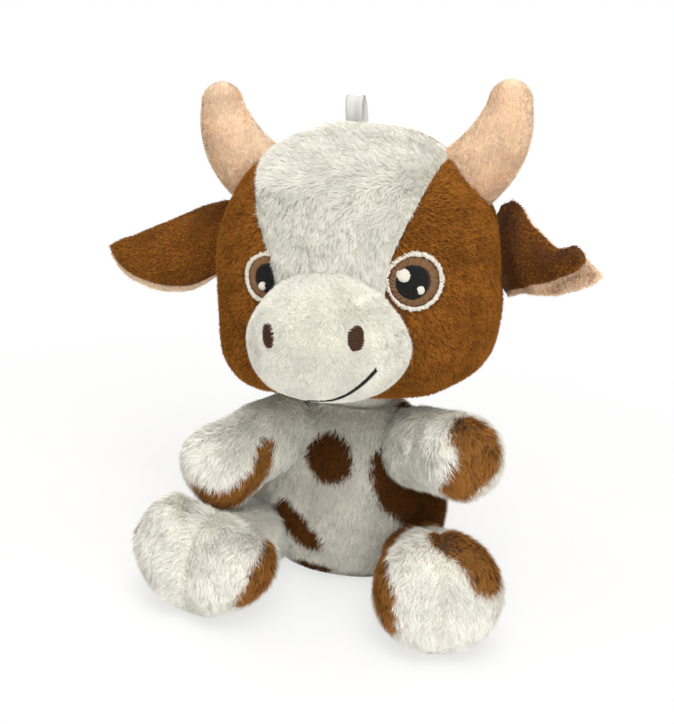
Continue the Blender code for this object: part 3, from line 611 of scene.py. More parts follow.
def clothMaterial(name, colour, spot=None):
    made, look = Shader(name), clothLook
    weave = made.speckle(look["weaveScale"], 2.0)
    patchy = made.speckle(look["patchScale"], 3.0, 0.6)
    base = made.mix(weave.between(0.3, 0.7), tuple(c * look["dark"] for c in colour), colour)
    if spot:
        fuzz = made.speckle(look["edgeScale"], 2.0) * look["edgeFuzz"]
        edge = made.attribute("patch") + fuzz - look["edgeFuzz"] / 2.0
        base = made.mix(edge.between(0.0006, -0.0006), base, spot)
    base = made.mix(patchy.between(0.2, 0.9) * 0.25, base,
                    tuple(c * look["worn"] for c in colour))
    made.main.inputs["Specular IOR Level"].default_value = look["gloss"]
    made.main.inputs["Sheen Weight"].default_value = look["sheen"]
    return made.finish(Base_Color=base, Roughness=weave * look["roughSpread"] + look["rough"],
                       Normal=made.bump(weave, look["depth"]))


threadLook = {"twistScale": 2200.0, "dark": 0.75, "depth": 0.00008, "gloss": 0.25,
              "rough": 0.42, "roughSpread": 0.2}


def threadMaterial(name, colour):
    made, look = Shader(name), threadLook
    twist = made.speckle(look["twistScale"], 1.0)
    base = made.mix(twist.between(0.25, 0.75), tuple(c * look["dark"] for c in colour), colour)
    made.main.inputs["Specular IOR Level"].default_value = look["gloss"]
    return made.finish(Base_Color=base, Roughness=twist * look["roughSpread"] + look["rough"],
                       Normal=made.bump(twist, look["depth"]))


ribbonLook = {"ribScale": 900.0, "ribWaver": 0.5, "dark": 0.9, "depth": 0.00005, "gloss": 0.5,
              "rough": 0.3, "roughSpread": 0.15, "solid": 0.76, "solidSpread": 0.12}


def ribbonMaterial(name, colour):
    made, look = Shader(name), ribbonLook
    rib = made.node("ShaderNodeTexWave", {"wave_type": "BANDS", "bands_direction": "X"},
                    Vector=made.place(), Scale=look["ribScale"], Distortion=look["ribWaver"])
    made.main.inputs["Specular IOR Level"].default_value = look["gloss"]
    return made.finish(Base_Color=made.mix(rib, tuple(c * look["dark"] for c in colour), colour),
                       Roughness=rib * look["roughSpread"] + look["rough"],
                       Alpha=rib * look["solidSpread"] + look["solid"],
                       Normal=made.bump(rib, look["depth"]))


def shades(*names):
    return [plushColours[name] for name in names]


finishes = {
    "ribbon": ribbonMaterial("whiteRibbon", *shades("ribbon")),
    "whiteFur": strandMaterial("whitePlush", *shades("white", "whiteRootShade", "spot", "spotRootShade"),
                               contrast=0.16),
    # the body's pile is the white plush painted darker as shade, the limbs' pile the same plush
    # painted lighter as light
    "shadedBodyFur": strandMaterial("shadedWhiteBodyPlush",
                              *shades("bodyWhiteShaded", "bodyRootShaded", "spot", "spotRootShade"),
                              contrast=0.20),
    "litLimbFur": strandMaterial("litWhiteLimbPlush",
                              *shades("limbWhiteLit", "limbLitRootShade", "limbSpot", "limbSpotRootShade"),
                              contrast=0.18),
    "brownFur": strandMaterial("brownPlush", *shades("brown", "brownRootShade"), contrast=0.42),
    "peachFur": strandMaterial("peachVelboa", *shades("peach", "peachRootShade"), contrast=0.20),
    "velboaFur": strandMaterial("whiteVelboa", *shades("white", "whiteRootShade"), contrast=0.16),
    # the backing cloth takes the pile's root colours: painted shade under the pile
    "whiteCloth": clothMaterial("whiteBacking", *shades("whiteRootShade", "spotRootShade")),
    "brownCloth": clothMaterial("brownBacking", *shades("brownRootShade")),
    "peachCloth": clothMaterial("peachBacking", *shades("peachRootShade")),
    "blackThread": threadMaterial("blackThread", *shades("threadBlack")),
    "brownThread": threadMaterial("brownThread", *shades("threadBrown")),
    "gapShadeThread": threadMaterial("gapShadeThread", *shades("threadGapShade")),
    "irisThread": threadMaterial("irisThread", *shades("irisBrown")),
    "whiteThread": threadMaterial("whiteThread", *shades("threadWhite")),
}
print("materials made")


class NodeTree:  # a Geometry Nodes tree with named inputs
    def __init__(self, name, inputs):
        self.tree = bpy.data.node_groups.new(name, "GeometryNodeTree")
        self.nodes, self.links = self.tree.nodes, self.tree.links
        face = self.tree.interface
        face.new_socket("Geometry", in_out="INPUT", socket_type="NodeSocketGeometry")
        face.new_socket("Geometry", in_out="OUTPUT", socket_type="NodeSocketGeometry")
        self.inputIds = {}
        for label, kind in inputs.items():
            made = face.new_socket(label, in_out="INPUT", socket_type="NodeSocket" + kind)
            self.inputIds[label] = made.identifier
        self.start, self.end = self.nodes.new("NodeGroupInput"), self.nodes.new("NodeGroupOutput")

    def given(self, label):
        return self.start.outputs[label]

    def node(self, kind, settings=None, output=None, **sockets):
        made = self.nodes.new(kind)
        for key, value in (settings or {}).items():
            setattr(made, key, value)
        for key, value in sockets.items():
            self.connect(value, self.find(made.inputs, key))
        return self.find(made.outputs, output) if output else made.outputs[0]

    def find(self, sockets, key):
        key = key.replace("__", " ")
        for socket in sockets:
            if socket.enabled and key in (socket.identifier, socket.name):
                return socket
        raise KeyError(key)

    def maths(self, operation, *values):
        made = self.nodes.new("ShaderNodeMath")
        made.operation = operation
        return self.fill(made, values)

    def vector(self, operation, *values):
        made = self.nodes.new("ShaderNodeVectorMath")
        made.operation = operation
        if operation == "SCALE":
            self.fill(made, values[:1])
            self.connect(values[1], made.inputs["Scale"])
            return made.outputs[0]
        self.fill(made, values)
        return made.outputs["Value" if operation in ("DOT_PRODUCT", "LENGTH") else "Vector"]

    def fill(self, made, values):
        for socket, value in zip(made.inputs, values):
            self.connect(value, socket)
        return made.outputs[0]

    def connect(self, value, socket):
        if isinstance(value, bpy.types.NodeSocket):
            self.links.new(value, socket)
        else:
            socket.default_value = value

    def attribute(self, name, kind="FLOAT"):
        return self.node("GeometryNodeInputNamedAttribute", {"data_type": kind}, Name=name)

    def store(self, geometry, name, value, kind="FLOAT", domain="POINT"):
        return self.node("GeometryNodeStoreNamedAttribute", {"data_type": kind, "domain": domain},
                         Geometry=geometry, Name=name, Value=value)

    def chance(self, low, high, seed):
        return self.node("FunctionNodeRandomValue", {"data_type": "FLOAT"}, output="Value_001",
                         Min_001=low, Max_001=high, Seed=seed)

    def xyz(self, x, y, z):
        return self.node("ShaderNodeCombineXYZ", X=x, Y=y, Z=z)

    def finish(self, geometry):
        self.links.new(geometry, self.end.inputs[0])


strandShape = {
    "lengths": (0.65, 1.1), "widths": (0.7, 1.2), "tipPower": 0.7, "bow": 0.6,
    "lean": 0.22, "twist": 0.4, "swirlScale": 110.0, "swirl": 1.4, "lockPower": 1.4,
    "fuzzScale": 420.0, "fuzz": 0.0032, "scatter": 0.0008, "floor": 0.0001,
}


def strandTree(steps):
    floats = ("Density", "Length", "Width", "Rise", "Droop", "Roll", "Lock Size", "Lock Pull",
              "Lock Turn")
    tree = NodeTree(f"pile{steps}",
                    {**{name: "Float" for name in floats}, "Seed": "Int", "Material": "Material"})
    shape = strandShape
    given = tree.given
    seed = given("Seed")
    scattered = tree.nodes.new("GeometryNodeDistributePointsOnFaces")
    scattered.distribute_method = "RANDOM"
    tree.links.new(given("Geometry"), scattered.inputs["Mesh"])
    tree.links.new(tree.maths("MULTIPLY", given("Density"), tree.attribute("cover")),
                   scattered.inputs["Density"])
    tree.links.new(seed, scattered.inputs["Seed"])
    points = scattered.outputs["Points"]
    root = tree.node("GeometryNodeInputPosition")
    points = tree.store(points, "root", root, "FLOAT_VECTOR")
    points = tree.store(points, "tint", tree.chance(0.0, 1.0, seed))
    fuzz = tree.node("ShaderNodeTexNoise", Vector=root, Scale=shape["fuzzScale"], Detail=2.0)
    edge = tree.maths("MULTIPLY_ADD", tree.maths("SUBTRACT", fuzz, 0.5), shape["fuzz"],
                      tree.attribute("patch"))
    edge = tree.maths("ADD", edge, tree.chance(-shape["scatter"], shape["scatter"],
                                               tree.maths("ADD", seed, 5)))
    points = tree.store(points, "spot", tree.maths("LESS_THAN", edge, 0.0))
    normal = tree.vector("NORMALIZE", tree.attribute("skinNormal", "FLOAT_VECTOR"))
    swirl = tree.node("ShaderNodeTexNoise", output="Color", Vector=root,
                      Scale=shape["swirlScale"], Detail=1.0)
    swirl = tree.vector("SUBTRACT", swirl, (0.5, 0.5, 0.5))
    cell = tree.node("ShaderNodeTexVoronoi", {"feature": "F1"}, output="Color", Vector=root,
                     Scale=tree.maths("DIVIDE", 1.0, given("Lock Size")))
    cell = tree.vector("SUBTRACT", cell, (0.5, 0.5, 0.5))
    swirl = tree.vector("ADD", tree.vector("SCALE", swirl, shape["swirl"]),
                        tree.vector("SCALE", cell, given("Lock Turn")))
    comb = tree.vector("ADD", tree.attribute("comb", "FLOAT_VECTOR"), swirl)
    turned = tree.node("FunctionNodeAxesToRotation",
                       {"primary_axis": "Z", "secondary_axis": "X"},
                       Primary__Axis=normal, Secondary__Axis=comb)
    roll = tree.maths("MULTIPLY", given("Roll"),
                      tree.chance(-1.0, 1.0, tree.maths("ADD", seed, 1)))
    jitter = tree.xyz(roll,
                      tree.chance(-shape["lean"], shape["lean"], tree.maths("ADD", seed, 2)),
                      tree.chance(-shape["twist"], shape["twist"], tree.maths("ADD", seed, 3)))
    jitter = tree.node("FunctionNodeEulerToRotation", Euler=jitter)
    turned = tree.node("FunctionNodeRotateRotation", {"rotation_space": "LOCAL"},
                       Rotation=turned, Rotate__By=jitter)
    blade = tree.node("GeometryNodeMeshGrid", output="Mesh", Size__X=1.0, Size__Y=1.0,
                      Vertices__X=steps + 1, Vertices__Y=2)
    apart = tree.nodes.new("ShaderNodeSeparateXYZ")
    tree.links.new(tree.node("GeometryNodeInputPosition"), apart.inputs[0])
    along = tree.maths("ADD", apart.outputs["X"], 0.5)
    blade = tree.store(blade, "along", along)
    along = tree.attribute("along")
    narrow = tree.maths("POWER", tree.maths("MAXIMUM", tree.maths("SUBTRACT", 1.0, along), 0.0),
                        shape["tipPower"])
    rise = given("Rise")
    lift, lean = tree.maths("SINE", rise), tree.maths("COSINE", rise)
    bowed = tree.maths("MULTIPLY", along, shape["bow"])
    forward = tree.maths("MULTIPLY", along, tree.maths(
        "MULTIPLY_ADD", tree.maths("SUBTRACT", 1.0, lean), bowed, lean))
    height = tree.maths("MULTIPLY", tree.maths("MULTIPLY", along, lift), tree.maths(
        "SUBTRACT", 1.0, tree.maths("MULTIPLY", along, given("Droop"))))
    bent = tree.xyz(forward, tree.maths("MULTIPLY", apart.outputs["Y"], narrow), height)
    blade = tree.node("GeometryNodeSetPosition", Geometry=blade, Position=bent)
    blade = tree.node("GeometryNodeMergeByDistance", Geometry=blade, Distance=0.0001)
    long = tree.maths("MULTIPLY", tree.maths("MULTIPLY", given("Length"), tree.attribute("pile")),
                      tree.chance(*shape["lengths"], tree.maths("ADD", seed, 4)))
    wide = tree.maths("MULTIPLY", given("Width"), tree.chance(*shape["widths"], seed))
    strands = tree.node("GeometryNodeInstanceOnPoints", Points=points, Instance=blade,
                        Rotation=turned, Scale=tree.xyz(long, wide, long))
    strands = tree.node("GeometryNodeRealizeInstances", Geometry=strands)
    held = tree.attribute("root", "FLOAT_VECTOR")
    lock = tree.node("ShaderNodeTexVoronoi", {"feature": "F1"}, output="Position", Vector=held,
                     Scale=tree.maths("DIVIDE", 1.0, given("Lock Size")))
    pull = tree.vector("SUBTRACT", lock, held)
    outward = tree.vector("NORMALIZE", tree.attribute("skinNormal", "FLOAT_VECTOR"))
    sunk = tree.vector("SCALE", outward, tree.vector("DOT_PRODUCT", pull, outward))
    pull = tree.vector("SUBTRACT", pull, sunk)
    reach = tree.maths("POWER", tree.attribute("along"), shape["lockPower"])
    reach = tree.maths("MULTIPLY", reach, given("Lock Pull"))
    strands = tree.node("GeometryNodeSetPosition", Geometry=strands,
                        Offset=tree.vector("SCALE", pull, reach))
    ground = tree.nodes.new("ShaderNodeSeparateXYZ")
    tree.links.new(tree.node("GeometryNodeInputPosition"), ground.inputs[0])
    over = tree.xyz(ground.outputs["X"], ground.outputs["Y"],
                    tree.maths("MAXIMUM", ground.outputs["Z"], shape["floor"]))
    strands = tree.node("GeometryNodeSetPosition", Geometry=strands, Position=over)
    for name in ("root", "comb", "pile", "cover", "patch", "skinNormal"):
        strands = tree.node("GeometryNodeRemoveAttribute", Geometry=strands, Name=name)
    strands = tree.node("GeometryNodeSetMaterial", Geometry=strands, Material=given("Material"))
    tree.finish(strands)
    return tree


def threadTree():
    tree = NodeTree("stitches", {"Thread": "Float", "Sides": "Int", "Material": "Material"})
    curve = tree.node("GeometryNodeMeshToCurve", Mesh=tree.given("Geometry"))
    ring = tree.node("GeometryNodeCurvePrimitiveCircle", {"mode": "RADIUS"}, output="Curve",
                     Resolution=tree.given("Sides"), Radius=tree.given("Thread"))
    mesh = tree.node("GeometryNodeCurveToMesh", Curve=curve, Profile__Curve=ring,
                     Fill__Caps=True)
    mesh = tree.node("GeometryNodeRealizeInstances", Geometry=mesh)
    mesh = tree.node("GeometryNodeSetShadeSmooth", Geometry=mesh)
    tree.finish(tree.node("GeometryNodeSetMaterial", Geometry=mesh,
                          Material=tree.given("Material")))
    return tree


strandTrees = {steps: strandTree(steps) for steps in (1, 2)}
stitchTree = threadTree()

pileKinds = {  # density is strands on a square metre
    "locks": {"steps": 2, "Density": 9.5e6, "Length": 0.0044, "Width": 0.00024, "Rise": 0.95,
              "Droop": 0.42, "Roll": 1.1, "Lock Size": 0.0030, "Lock Pull": 0.30, "Lock Turn": 1.0,
              "finish": "whiteFur"},
    "body": {"steps": 2, "Density": 7.4e6, "Length": 0.0040, "Width": 0.00025, "Rise": 1.0,
             "Droop": 0.38, "Roll": 1.1, "Lock Size": 0.0024, "Lock Pull": 0.24, "Lock Turn": 0.9,
             "finish": "shadedBodyFur"},
    "limb": {"steps": 2, "Density": 7.0e6, "Length": 0.0045, "Width": 0.00026, "Rise": 1.0,
             "Droop": 0.40, "Roll": 1.1, "Lock Size": 0.0028, "Lock Pull": 0.30, "Lock Turn": 0.9,
             "finish": "litLimbFur"},
    "nap": {"steps": 2, "Density": 4.4e6, "Length": 0.0025, "Width": 0.00034, "Rise": 0.90,
            "Droop": 0.40, "Roll": 1.0, "Lock Size": 0.0020, "Lock Pull": 0.22, "Lock Turn": 0.8,
            "finish": "brownFur"},
    "peach": {"steps": 1, "Density": 12.0e6, "Length": 0.0013, "Width": 0.00026, "Rise": 1.0,
              "Droop": 0.20, "Roll": 1.2, "Lock Size": 0.0016, "Lock Pull": 0.20, "Lock Turn": 1.0,
              "finish": "peachFur"},
    "velboa": {"steps": 1, "Density": 12.0e6, "Length": 0.0015, "Width": 0.00027, "Rise": 1.0,
               "Droop": 0.20, "Roll": 1.2, "Lock Size": 0.0016, "Lock Pull": 0.25, "Lock Turn": 1.0,
               "finish": "velboaFur"},
}


def grown(name, source, tree, values):  # what a tree makes from a mesh, as a plain mesh object
    holder = bpy.data.objects.new(name, source)
    bpy.context.collection.objects.link(holder)
    change = holder.modifiers.new("made", "NODES")
    change.node_group = tree.tree
    for label, value in values.items():
        change[tree.inputIds[label]] = value
    bpy.context.view_layer.update()
    seen = holder.evaluated_get(bpy.context.evaluated_depsgraph_get())
    mesh = bpy.data.meshes.new_from_object(seen)
    bpy.data.objects.remove(holder)
    made = bpy.data.objects.new(name, mesh)
    mesh.name = name
    bpy.context.collection.objects.link(made)
    return made


def setAttribute(mesh, name, kind, values):
    held = mesh.attributes.get(name) or mesh.attributes.new(name, kind, "POINT")
    key = "vector" if kind == "FLOAT_VECTOR" else "value"
    held.data.foreach_set(key, np.ascontiguousarray(values, np.float32).ravel())


def shortest(least, low, high, value):  # pile that grows from its least length to full
    return least + (1.0 - least) * smoothStep(low, high, value)


def shortened(share, low, high, value):  # pile that loses a share of its length
    return 1.0 - share * smoothStep(low, high, value)


allFur = []


def pileOn(skin, kind, comb, cover=1.0, pile=1.0, patch=None, seed=0):
    mesh = skin.data
    points, normals = pointsOf(mesh), normalsOf(mesh)
    ways = comb(points, normals)
    ways = unit(ways - normals * np.sum(ways * normals, axis=1, keepdims=True))
    full = np.ones(len(points))
    setAttribute(mesh, "comb", "FLOAT_VECTOR", ways)
    setAttribute(mesh, "skinNormal", "FLOAT_VECTOR", normals)
    setAttribute(mesh, "cover", "FLOAT", full * cover)
    setAttribute(mesh, "pile", "FLOAT", full * pile)
    setAttribute(mesh, "patch", "FLOAT", full * 0.02 if patch is None else patch)
    values = dict(pileKinds[kind])
    steps, finish = values.pop("steps"), values.pop("finish")
    values["Density"] *= toyLook["furShare"]
    values["Width"] /= math.sqrt(toyLook["furShare"])
    values.update(Seed=toyLook["seed"] + seed, Material=finishes[finish])
    copy = mesh.copy()
    made = grown(f"{skin.name}_pile", copy, strandTrees[steps], values)
    bpy.data.meshes.remove(copy)
    allFur.append(made)
    print(f"  {made.name}: {len(made.data.polygons)} faces")
    return made


def patchField(points, patches):  # distance to the nearest brown patch, below 0 inside
    found = np.full(len(points), 0.02)
    for start, end, startSize, endSize in patches:
        a, b = np.array(start), np.array(end)
        along = b - a
        length = max(float(along @ along), 1e-12)
        share = np.clip((points - a) @ along / length, 0.0, 1.0)[:, None]
        size = startSize + (endSize - startSize) * share[:, 0]
        found = np.minimum(found, np.linalg.norm(points - (a + along * share), axis=1) - size)
    return found


# a form is cut along planes, each (point, normal, where), into the panels that are sewn together
def panelsOf(mesh, cuts, panelAt):
    held = bmesh.new()
    held.from_mesh(mesh)
    for point, normal, where in cuts:
        faces = [face for face in held.faces if where(face.calc_center_median())]
        near = {*faces, *(e for f in faces for e in f.edges), *(v for f in faces for v in f.verts)}
        bmesh.ops.bisect_plane(held, geom=list(near), dist=1e-5, plane_co=point, plane_no=normal)
    held.faces.ensure_lookup_table()
    held.faces.index_update()
    names = [panelAt(face.calc_center_median()) for face in held.faces]
    found = {}
    for name in dict.fromkeys(names):
        part = held.copy()
        part.faces.ensure_lookup_table()
        spare = [part.faces[index] for index, other in enumerate(names) if other != name]
        bmesh.ops.delete(part, geom=spare, context="FACES")
        made = bpy.data.meshes.new(name)
        part.to_mesh(made)
        part.free()
        made.update()
        found[name] = made
    held.free()
    return found


def skinObject(name, mesh, finish, body=None):
    mesh.shade_smooth()
    mesh.materials.clear()
    mesh.materials.append(finishes[finish])
    made = bpy.data.objects.new(name, mesh)
    mesh.name = name
    bpy.context.collection.objects.link(made)
    if body:
        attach(made, body)
    return made


def thickened(skin, thickness=None):
    change = skin.modifiers.new("cloth", "SOLIDIFY")
    change.thickness = thickness or toyLook["fabric"]
    change.offset = -1.0
    change.use_even_offset = False
    return skin


def downComb(*lean):
    return lambda points, normals: np.tile(np.array(lean, float), (len(points), 1))


def partedComb(lean, place, depth):  # brushed away to both sides of a limb's middle seam
    def comb(points, normals):
        x = placed(points, place.inverted())[:, 0]
        aside = np.sign(x) * np.exp(-np.abs(x) / 0.006) * depth / 0.0011
        return np.array(lean) + aside[:, None] * np.array(place.col[0].to_3d())
    return comb


# the face's embroidery comes first, because the pile of the head and muzzle stays clear of it
eyeStitch = {
    "left": {"spread": 0.0305, "rise": 0.0024, "turn": 30.0, "wide": 0.0108, "high": 0.0106},
    "right": {"spread": 0.0228, "rise": 0.0026, "turn": 24.0, "wide": 0.0100, "high": 0.0094},
    "whiteFrom": 0.86, "irisTo": 0.84, "pupil": (0.53, 0.57), "pupilAt": (-0.0011, 0.0),
    "bigGlint": ((-0.0043, 0.0028), (0.0022, 0.0023)),
    "smallGlint": ((0.0016, -0.0029), (0.0012, 0.0015)),
    "glints": {"left": ("bigGlint", "smallGlint"), "right": ("smallGlint",)},
    "thread": 0.00023, "lift": 0.0004,
    "groundTo": 0.93, "thinBy": 0.09, "thinAt": 100.0, "thinOver": 0.9,
    "lifts": {"ground": 0.6, "edge": 1.1, "iris": 1.3, "pupil": 2.6, "pupilStitches": 2.7,
              "glint": 3.6},
    "ring": {"count": 92, "slant": 0.050, "puff": 0.00055, "thread": 1.5},
    "iris": {"count": 76, "slant": -0.10, "puff": 0.00030, "thread": 1.1, "span": (0.64, 0.97)},
    "fill": {"spacing": 0.00043, "slant": 62.0, "length": 0.0030, "puff": 0.00015},
    "shine": {"spacing": 0.00040, "slants": {"bigGlint": 20.0, "smallGlint": 100.0},
              "puff": 0.0004, "thread": 1.1},
}
nostrilStitch = {"spread": 0.0154, "drop": 0.0118, "wide": 0.0023, "high": 0.0041,
                 "thread": 0.00024, "lift": 0.0003, "spacing": 0.00078, "slant": 8.0,
                 "puff": 0.0007, "cord": 1.35}
smileStitch = {"start": -0.0050, "end": 0.0215, "drop": 0.0375, "lift": 0.0140, "curve": 2.2,
               "stroke": 0.0011, "thin": 0.45, "thread": 0.00022, "count": 110,
               "aim": 0.0170, "slope": 0.9, "over": 0.0002, "puff": 0.0005}


def seamGroove(distance, depth=0.0011, width=0.0019):
    return -depth * np.exp(-((distance / width) ** 2))


def blazeEdge(z):  # half the blaze's width at a height
    low, high = headShape["blazeWide"]["low"], headShape["blazeWide"]["high"]
    return np.maximum(low[0] + low[1] * z, high[0] + high[1] * z)


def shapeHead(points, normals):
    shape = headShape
    at = points - np.array(headCentre)
    x, y, z = at.T
    front = smoothStep(0.004, -0.004, y - shape["backSeam"])
    above = smoothStep(-0.004, 0.002, z + shape["blazeEnd"])
    groove = seamGroove(np.abs(x) - blazeEdge(z)) * front * above
    groove += seamGroove(y - shape["backSeam"])
    groove += seamGroove(x) * front * (1.0 - above)
    swell = np.zeros(len(points))
    hollow, hollowWide = shape["eyeHollow"]
    (cheekX, cheekZ), (cheekWide, cheekHigh) = shape["cheekAt"], shape["cheekSize"]
    for word, side in bothSides:
        sizes = eyeStitch[word]
        apart = np.hypot(x - side * sizes["spread"], z - sizes["rise"])
        swell -= hollow * np.exp(-((apart / hollowWide) ** 2)) * (y < 0.0)
        apart = ((x - side * cheekX) / cheekWide) ** 2 + ((z - cheekZ) / cheekHigh) ** 2
        swell += shape["cheek"][word] * np.exp(-apart)
    soft = sum(height * lumps(points, span, seed) for height, span, seed in shape["lumps"])
    inset = shape["inset"] * smoothStep(0.050, 0.034, z)
    return points + normals * (groove + swell + soft - inset)[:, None]


headForm = headSkin()
setPoints(headForm, shapeHead(pointsOf(headForm), normalsOf(headForm)))
headTree = treeOf(headForm)
muzzleForm = muzzleSkin()
muzzleTree = treeOf(muzzleForm)
seamY = headCentre.y + headShape["backSeam"]
seamZ = headCentre.z - headShape["blazeEnd"]
bendZ = headCentre.z + headShape["blazeBend"]
headCuts = [
    (headCentre + Vector((0, headShape["backSeam"], 0)), Vector((0, 1, 0)), lambda at: True),
    (Vector((0, 0, seamZ)), Vector((0, 0, 1)), lambda at: at.y < seamY),
    (Vector((0, 0, bendZ)), Vector((0, 0, 1)), lambda at: at.y < seamY),
    (Vector((0, 0, 0)), Vector((1, 0, 0)), lambda at: at.y < seamY and at.z < seamZ),
]
for side in (-1.0, 1.0):
    (lowWide, lowSlope), (highWide, highSlope) = headShape["blazeWide"].values()
    headCuts += [
        (headCentre + Vector((side * lowWide, 0, 0)), Vector((side, 0, -lowSlope)).normalized(),
         lambda at: at.y < seamY and seamZ < at.z < bendZ),
        (headCentre + Vector((side * highWide, 0, 0)), Vector((side, 0, -highSlope)).normalized(),
         lambda at: at.y < seamY and at.z > bendZ),
    ]


def headPanel(at):
    off = at - headCentre
    if off.y > headShape["backSeam"]:
        return "head_back_skin"
    if off.z > -headShape["blazeEnd"] and abs(off.x) < float(blazeEdge(off.z)):
        return "blaze_skin"
    return "head_left_skin" if off.x > 0.0 else "head_right_skin"


headNodes = {
    "head_back_skin": ("head_back", "head_stuffing"), "blaze_skin": ("head_blaze",),
    "head_left_skin": ("head_side_left",), "head_right_skin": ("head_side_right",),
}


def headComb(points, normals):  # down and back, away from the muzzle
    away = unit(points - np.array(headPlace @ muzzleCentre))
    return away * 0.5 + np.array((0.0, 0.45, -0.8))


def blazeComb(points, normals):
    local = placed(points, headPlace.inverted()) - np.array(headCentre)
    swirl = np.sin(local[:, 2] / 0.009 + local[:, 0] / 0.014)
    crown = smoothStep(0.028, 0.042, local[:, 2])
    way = [-0.15 + 0.25 * swirl - 1.1 * crown, -0.3 + 0.5 * crown, crown - 1.0]
    return np.stack(way, axis=1)


eyeCentres = {}
for word, side in bothSides:
    sizes = eyeStitch[word]
    start = headCentre + Vector((side * sizes["spread"], -0.2, sizes["rise"]))
    eyeCentres[word] = headTree.ray_cast(start, Vector((0.0, 1.0, 0.0)))[0]

headPile = {"clear": 0.0015, "underEye": 0.97, "eyeDepth": 0.02,
            "seam": (0.45, 0.0, 0.006), "crown": (0.25, 0.036, 0.046),
            "backCover": 0.85, "backTop": (0.5, 0.034, 0.044)}
for name, mesh in panelsOf(headForm, headCuts, headPanel).items():
    white = name == "blaze_skin"
    hidden = depthIn(pointsOf(mesh), muzzleTree)
    mesh.transform(headPlace)
    mesh.update()
    skin = skinObject(name, mesh, "whiteCloth" if white else "brownCloth",
                      "head")
    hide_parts(*headNodes[name])
    cover = (hidden < headPile["clear"]).astype(float)
    at = placed(pointsOf(mesh), headPlace.inverted()) - np.array(headCentre)
    if white:
        pile = shortest(*headPile["seam"], blazeEdge(at[:, 2]) - np.abs(at[:, 0]))
        pile *= shortened(*headPile["crown"], at[:, 2])
        fur = pileOn(skin, "locks", blazeComb, cover, pile, seed=11)
    else:
        for word, side in bothSides:
            off = at - (np.array(eyeCentres[word]) - np.array(headCentre))
            sizes = eyeStitch[word]
            turn = side * math.radians(sizes["turn"])
            across = off @ np.array((math.cos(turn), math.sin(turn), 0.0))
            away = np.hypot(across / sizes["wide"], off[:, 2] / sizes["high"])
            under = (away < headPile["underEye"]) & (off[:, 1] < headPile["eyeDepth"])
            cover *= np.where(under, 0.0, 1.0)
        pile = 1.0
        if name == "head_back_skin":
            cover *= headPile["backCover"]
            pile = shortened(*headPile["backTop"], at[:, 2])
        fur = pileOn(skin, "nap", headComb, cover, pile, seed=len(allFur))
    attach(fur, "head")
    thickened(skin)
print("head sewn")


def muzzleComb(points, normals):  # down the front, and aside on top
    local = placed(points, headPlace.inverted()) - np.array(headCentre)
    top = smoothStep(-0.010, 0.004, local[:, 2])
    way = [local[:, 0] / 0.04 - 0.8 * top, 0.2 + 0.0 * top, top - 1.0]
    return np.stack(way, axis=1)


def shapeMuzzle(points, normals):
    shape, crease = muzzleShape, muzzleShape["crease"]
    x, _, z = (points - np.array(headCentre)).T
    creases = np.exp(-((x / crease["wide"]) ** 2))
    creases = creases * np.exp(-(((z + crease["drop"]) / crease["high"]) ** 2))
    height, span, seed = shape["soft"]
    soft = height * lumps(points, span, seed)
    soft = soft + crease["height"] * creases * np.sin(z / crease["wave"])
    moved = points + normals * (soft - shape["inset"])[:, None]
    left, right = (share * smoothStep(low, high, z)
                   for share, low, high in shape["narrowTop"].values())
    moved[:, 0] *= 1.0 - np.where(x > 0.0, left, right)
    return moved


setPoints(muzzleForm, shapeMuzzle(pointsOf(muzzleForm), normalsOf(muzzleForm)))
muzzleTree = treeOf(muzzleForm)
hidden = depthIn(pointsOf(muzzleForm), headTree)
muzzleForm.transform(headPlace)
muzzleForm.update()
muzzle = skinObject("muzzle_skin", muzzleForm, "whiteCloth", "head")
setAttribute(muzzleForm, "patch", "FLOAT", np.full(len(muzzleForm.vertices), 0.02))
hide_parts("muzzle_cover", "muzzle_stuffing")

muzzlePile = {"clear": 0.0005, "nostrilRim": 0.0005, "smileEnds": (-0.04, 1.02),
              "smileHalf": 0.0012, "nearSmile": (0.55, 0.0035)}
at = placed(pointsOf(muzzleForm), headPlace.inverted()) - np.array(headCentre)
cover = (hidden < muzzlePile["clear"]).astype(float)
front = at[:, 1] < muzzleCentre.y - headCentre.y
rim, sizes = muzzlePile["nostrilRim"], nostrilStitch
for side in (-1.0, 1.0):
    off = ((at[:, 0] - side * sizes["spread"]) / (sizes["wide"] + rim)) ** 2
    off += ((at[:, 2] + sizes["drop"]) / (sizes["high"] + rim)) ** 2
    cover *= np.where(front & (off < 1.0), 0.0, 1.0)
sizes = smileStitch
share = (at[:, 0] - sizes["start"]) / (sizes["end"] - sizes["start"])
height = sizes["lift"] * np.clip(share, 0.0, 1.0) ** sizes["curve"]
off = np.abs(at[:, 2] - height + sizes["drop"])
low, high = muzzlePile["smileEnds"]
onSmile = front & (share > low) & (share < high) & (off < muzzlePile["smileHalf"])
short, width = muzzlePile["nearSmile"]
pile = 1.0 - short * np.exp(-((off / width) ** 2)) * front
fur = pileOn(muzzle, "velboa", muzzleComb, cover * ~onSmile, pile, seed=21)
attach(fur, "head")


# satin stitch is laid on the fabric from a view on the face: its right, up, out and place
def faceFrame(tree, across, up, turn):
    angle = math.radians(turn)
    out = np.array((math.sin(angle), -math.cos(angle), 0.0))
    right = np.array((math.cos(angle), math.sin(angle), 0.0))
    start = headCentre + Vector((across, -0.2, up))
    hit = tree.ray_cast(start, Vector((0.0, 1.0, 0.0)))[0]
    return right, np.array((0.0, 0.0, 1.0)), out, np.array(hit) + out * 0.05


def onFabric(tree, view, spot, lift):
    right, up, out, place = view
    start = place + right * spot[0] + up * spot[1]
    hit, _, _, _ = tree.ray_cast(Vector(start), Vector(-out))
    if hit is None:
        hit = start - out * 0.05
    if tree is headTree:  # past the blaze's seam the stitches lie under its fabric
        x, _, z = np.array(hit) - np.array(headCentre)
        lift = lift - 0.0020 * float(smoothStep(-0.0004, 0.0006, blazeEdge(z) - abs(x)))
    return np.array(hit) + out * lift


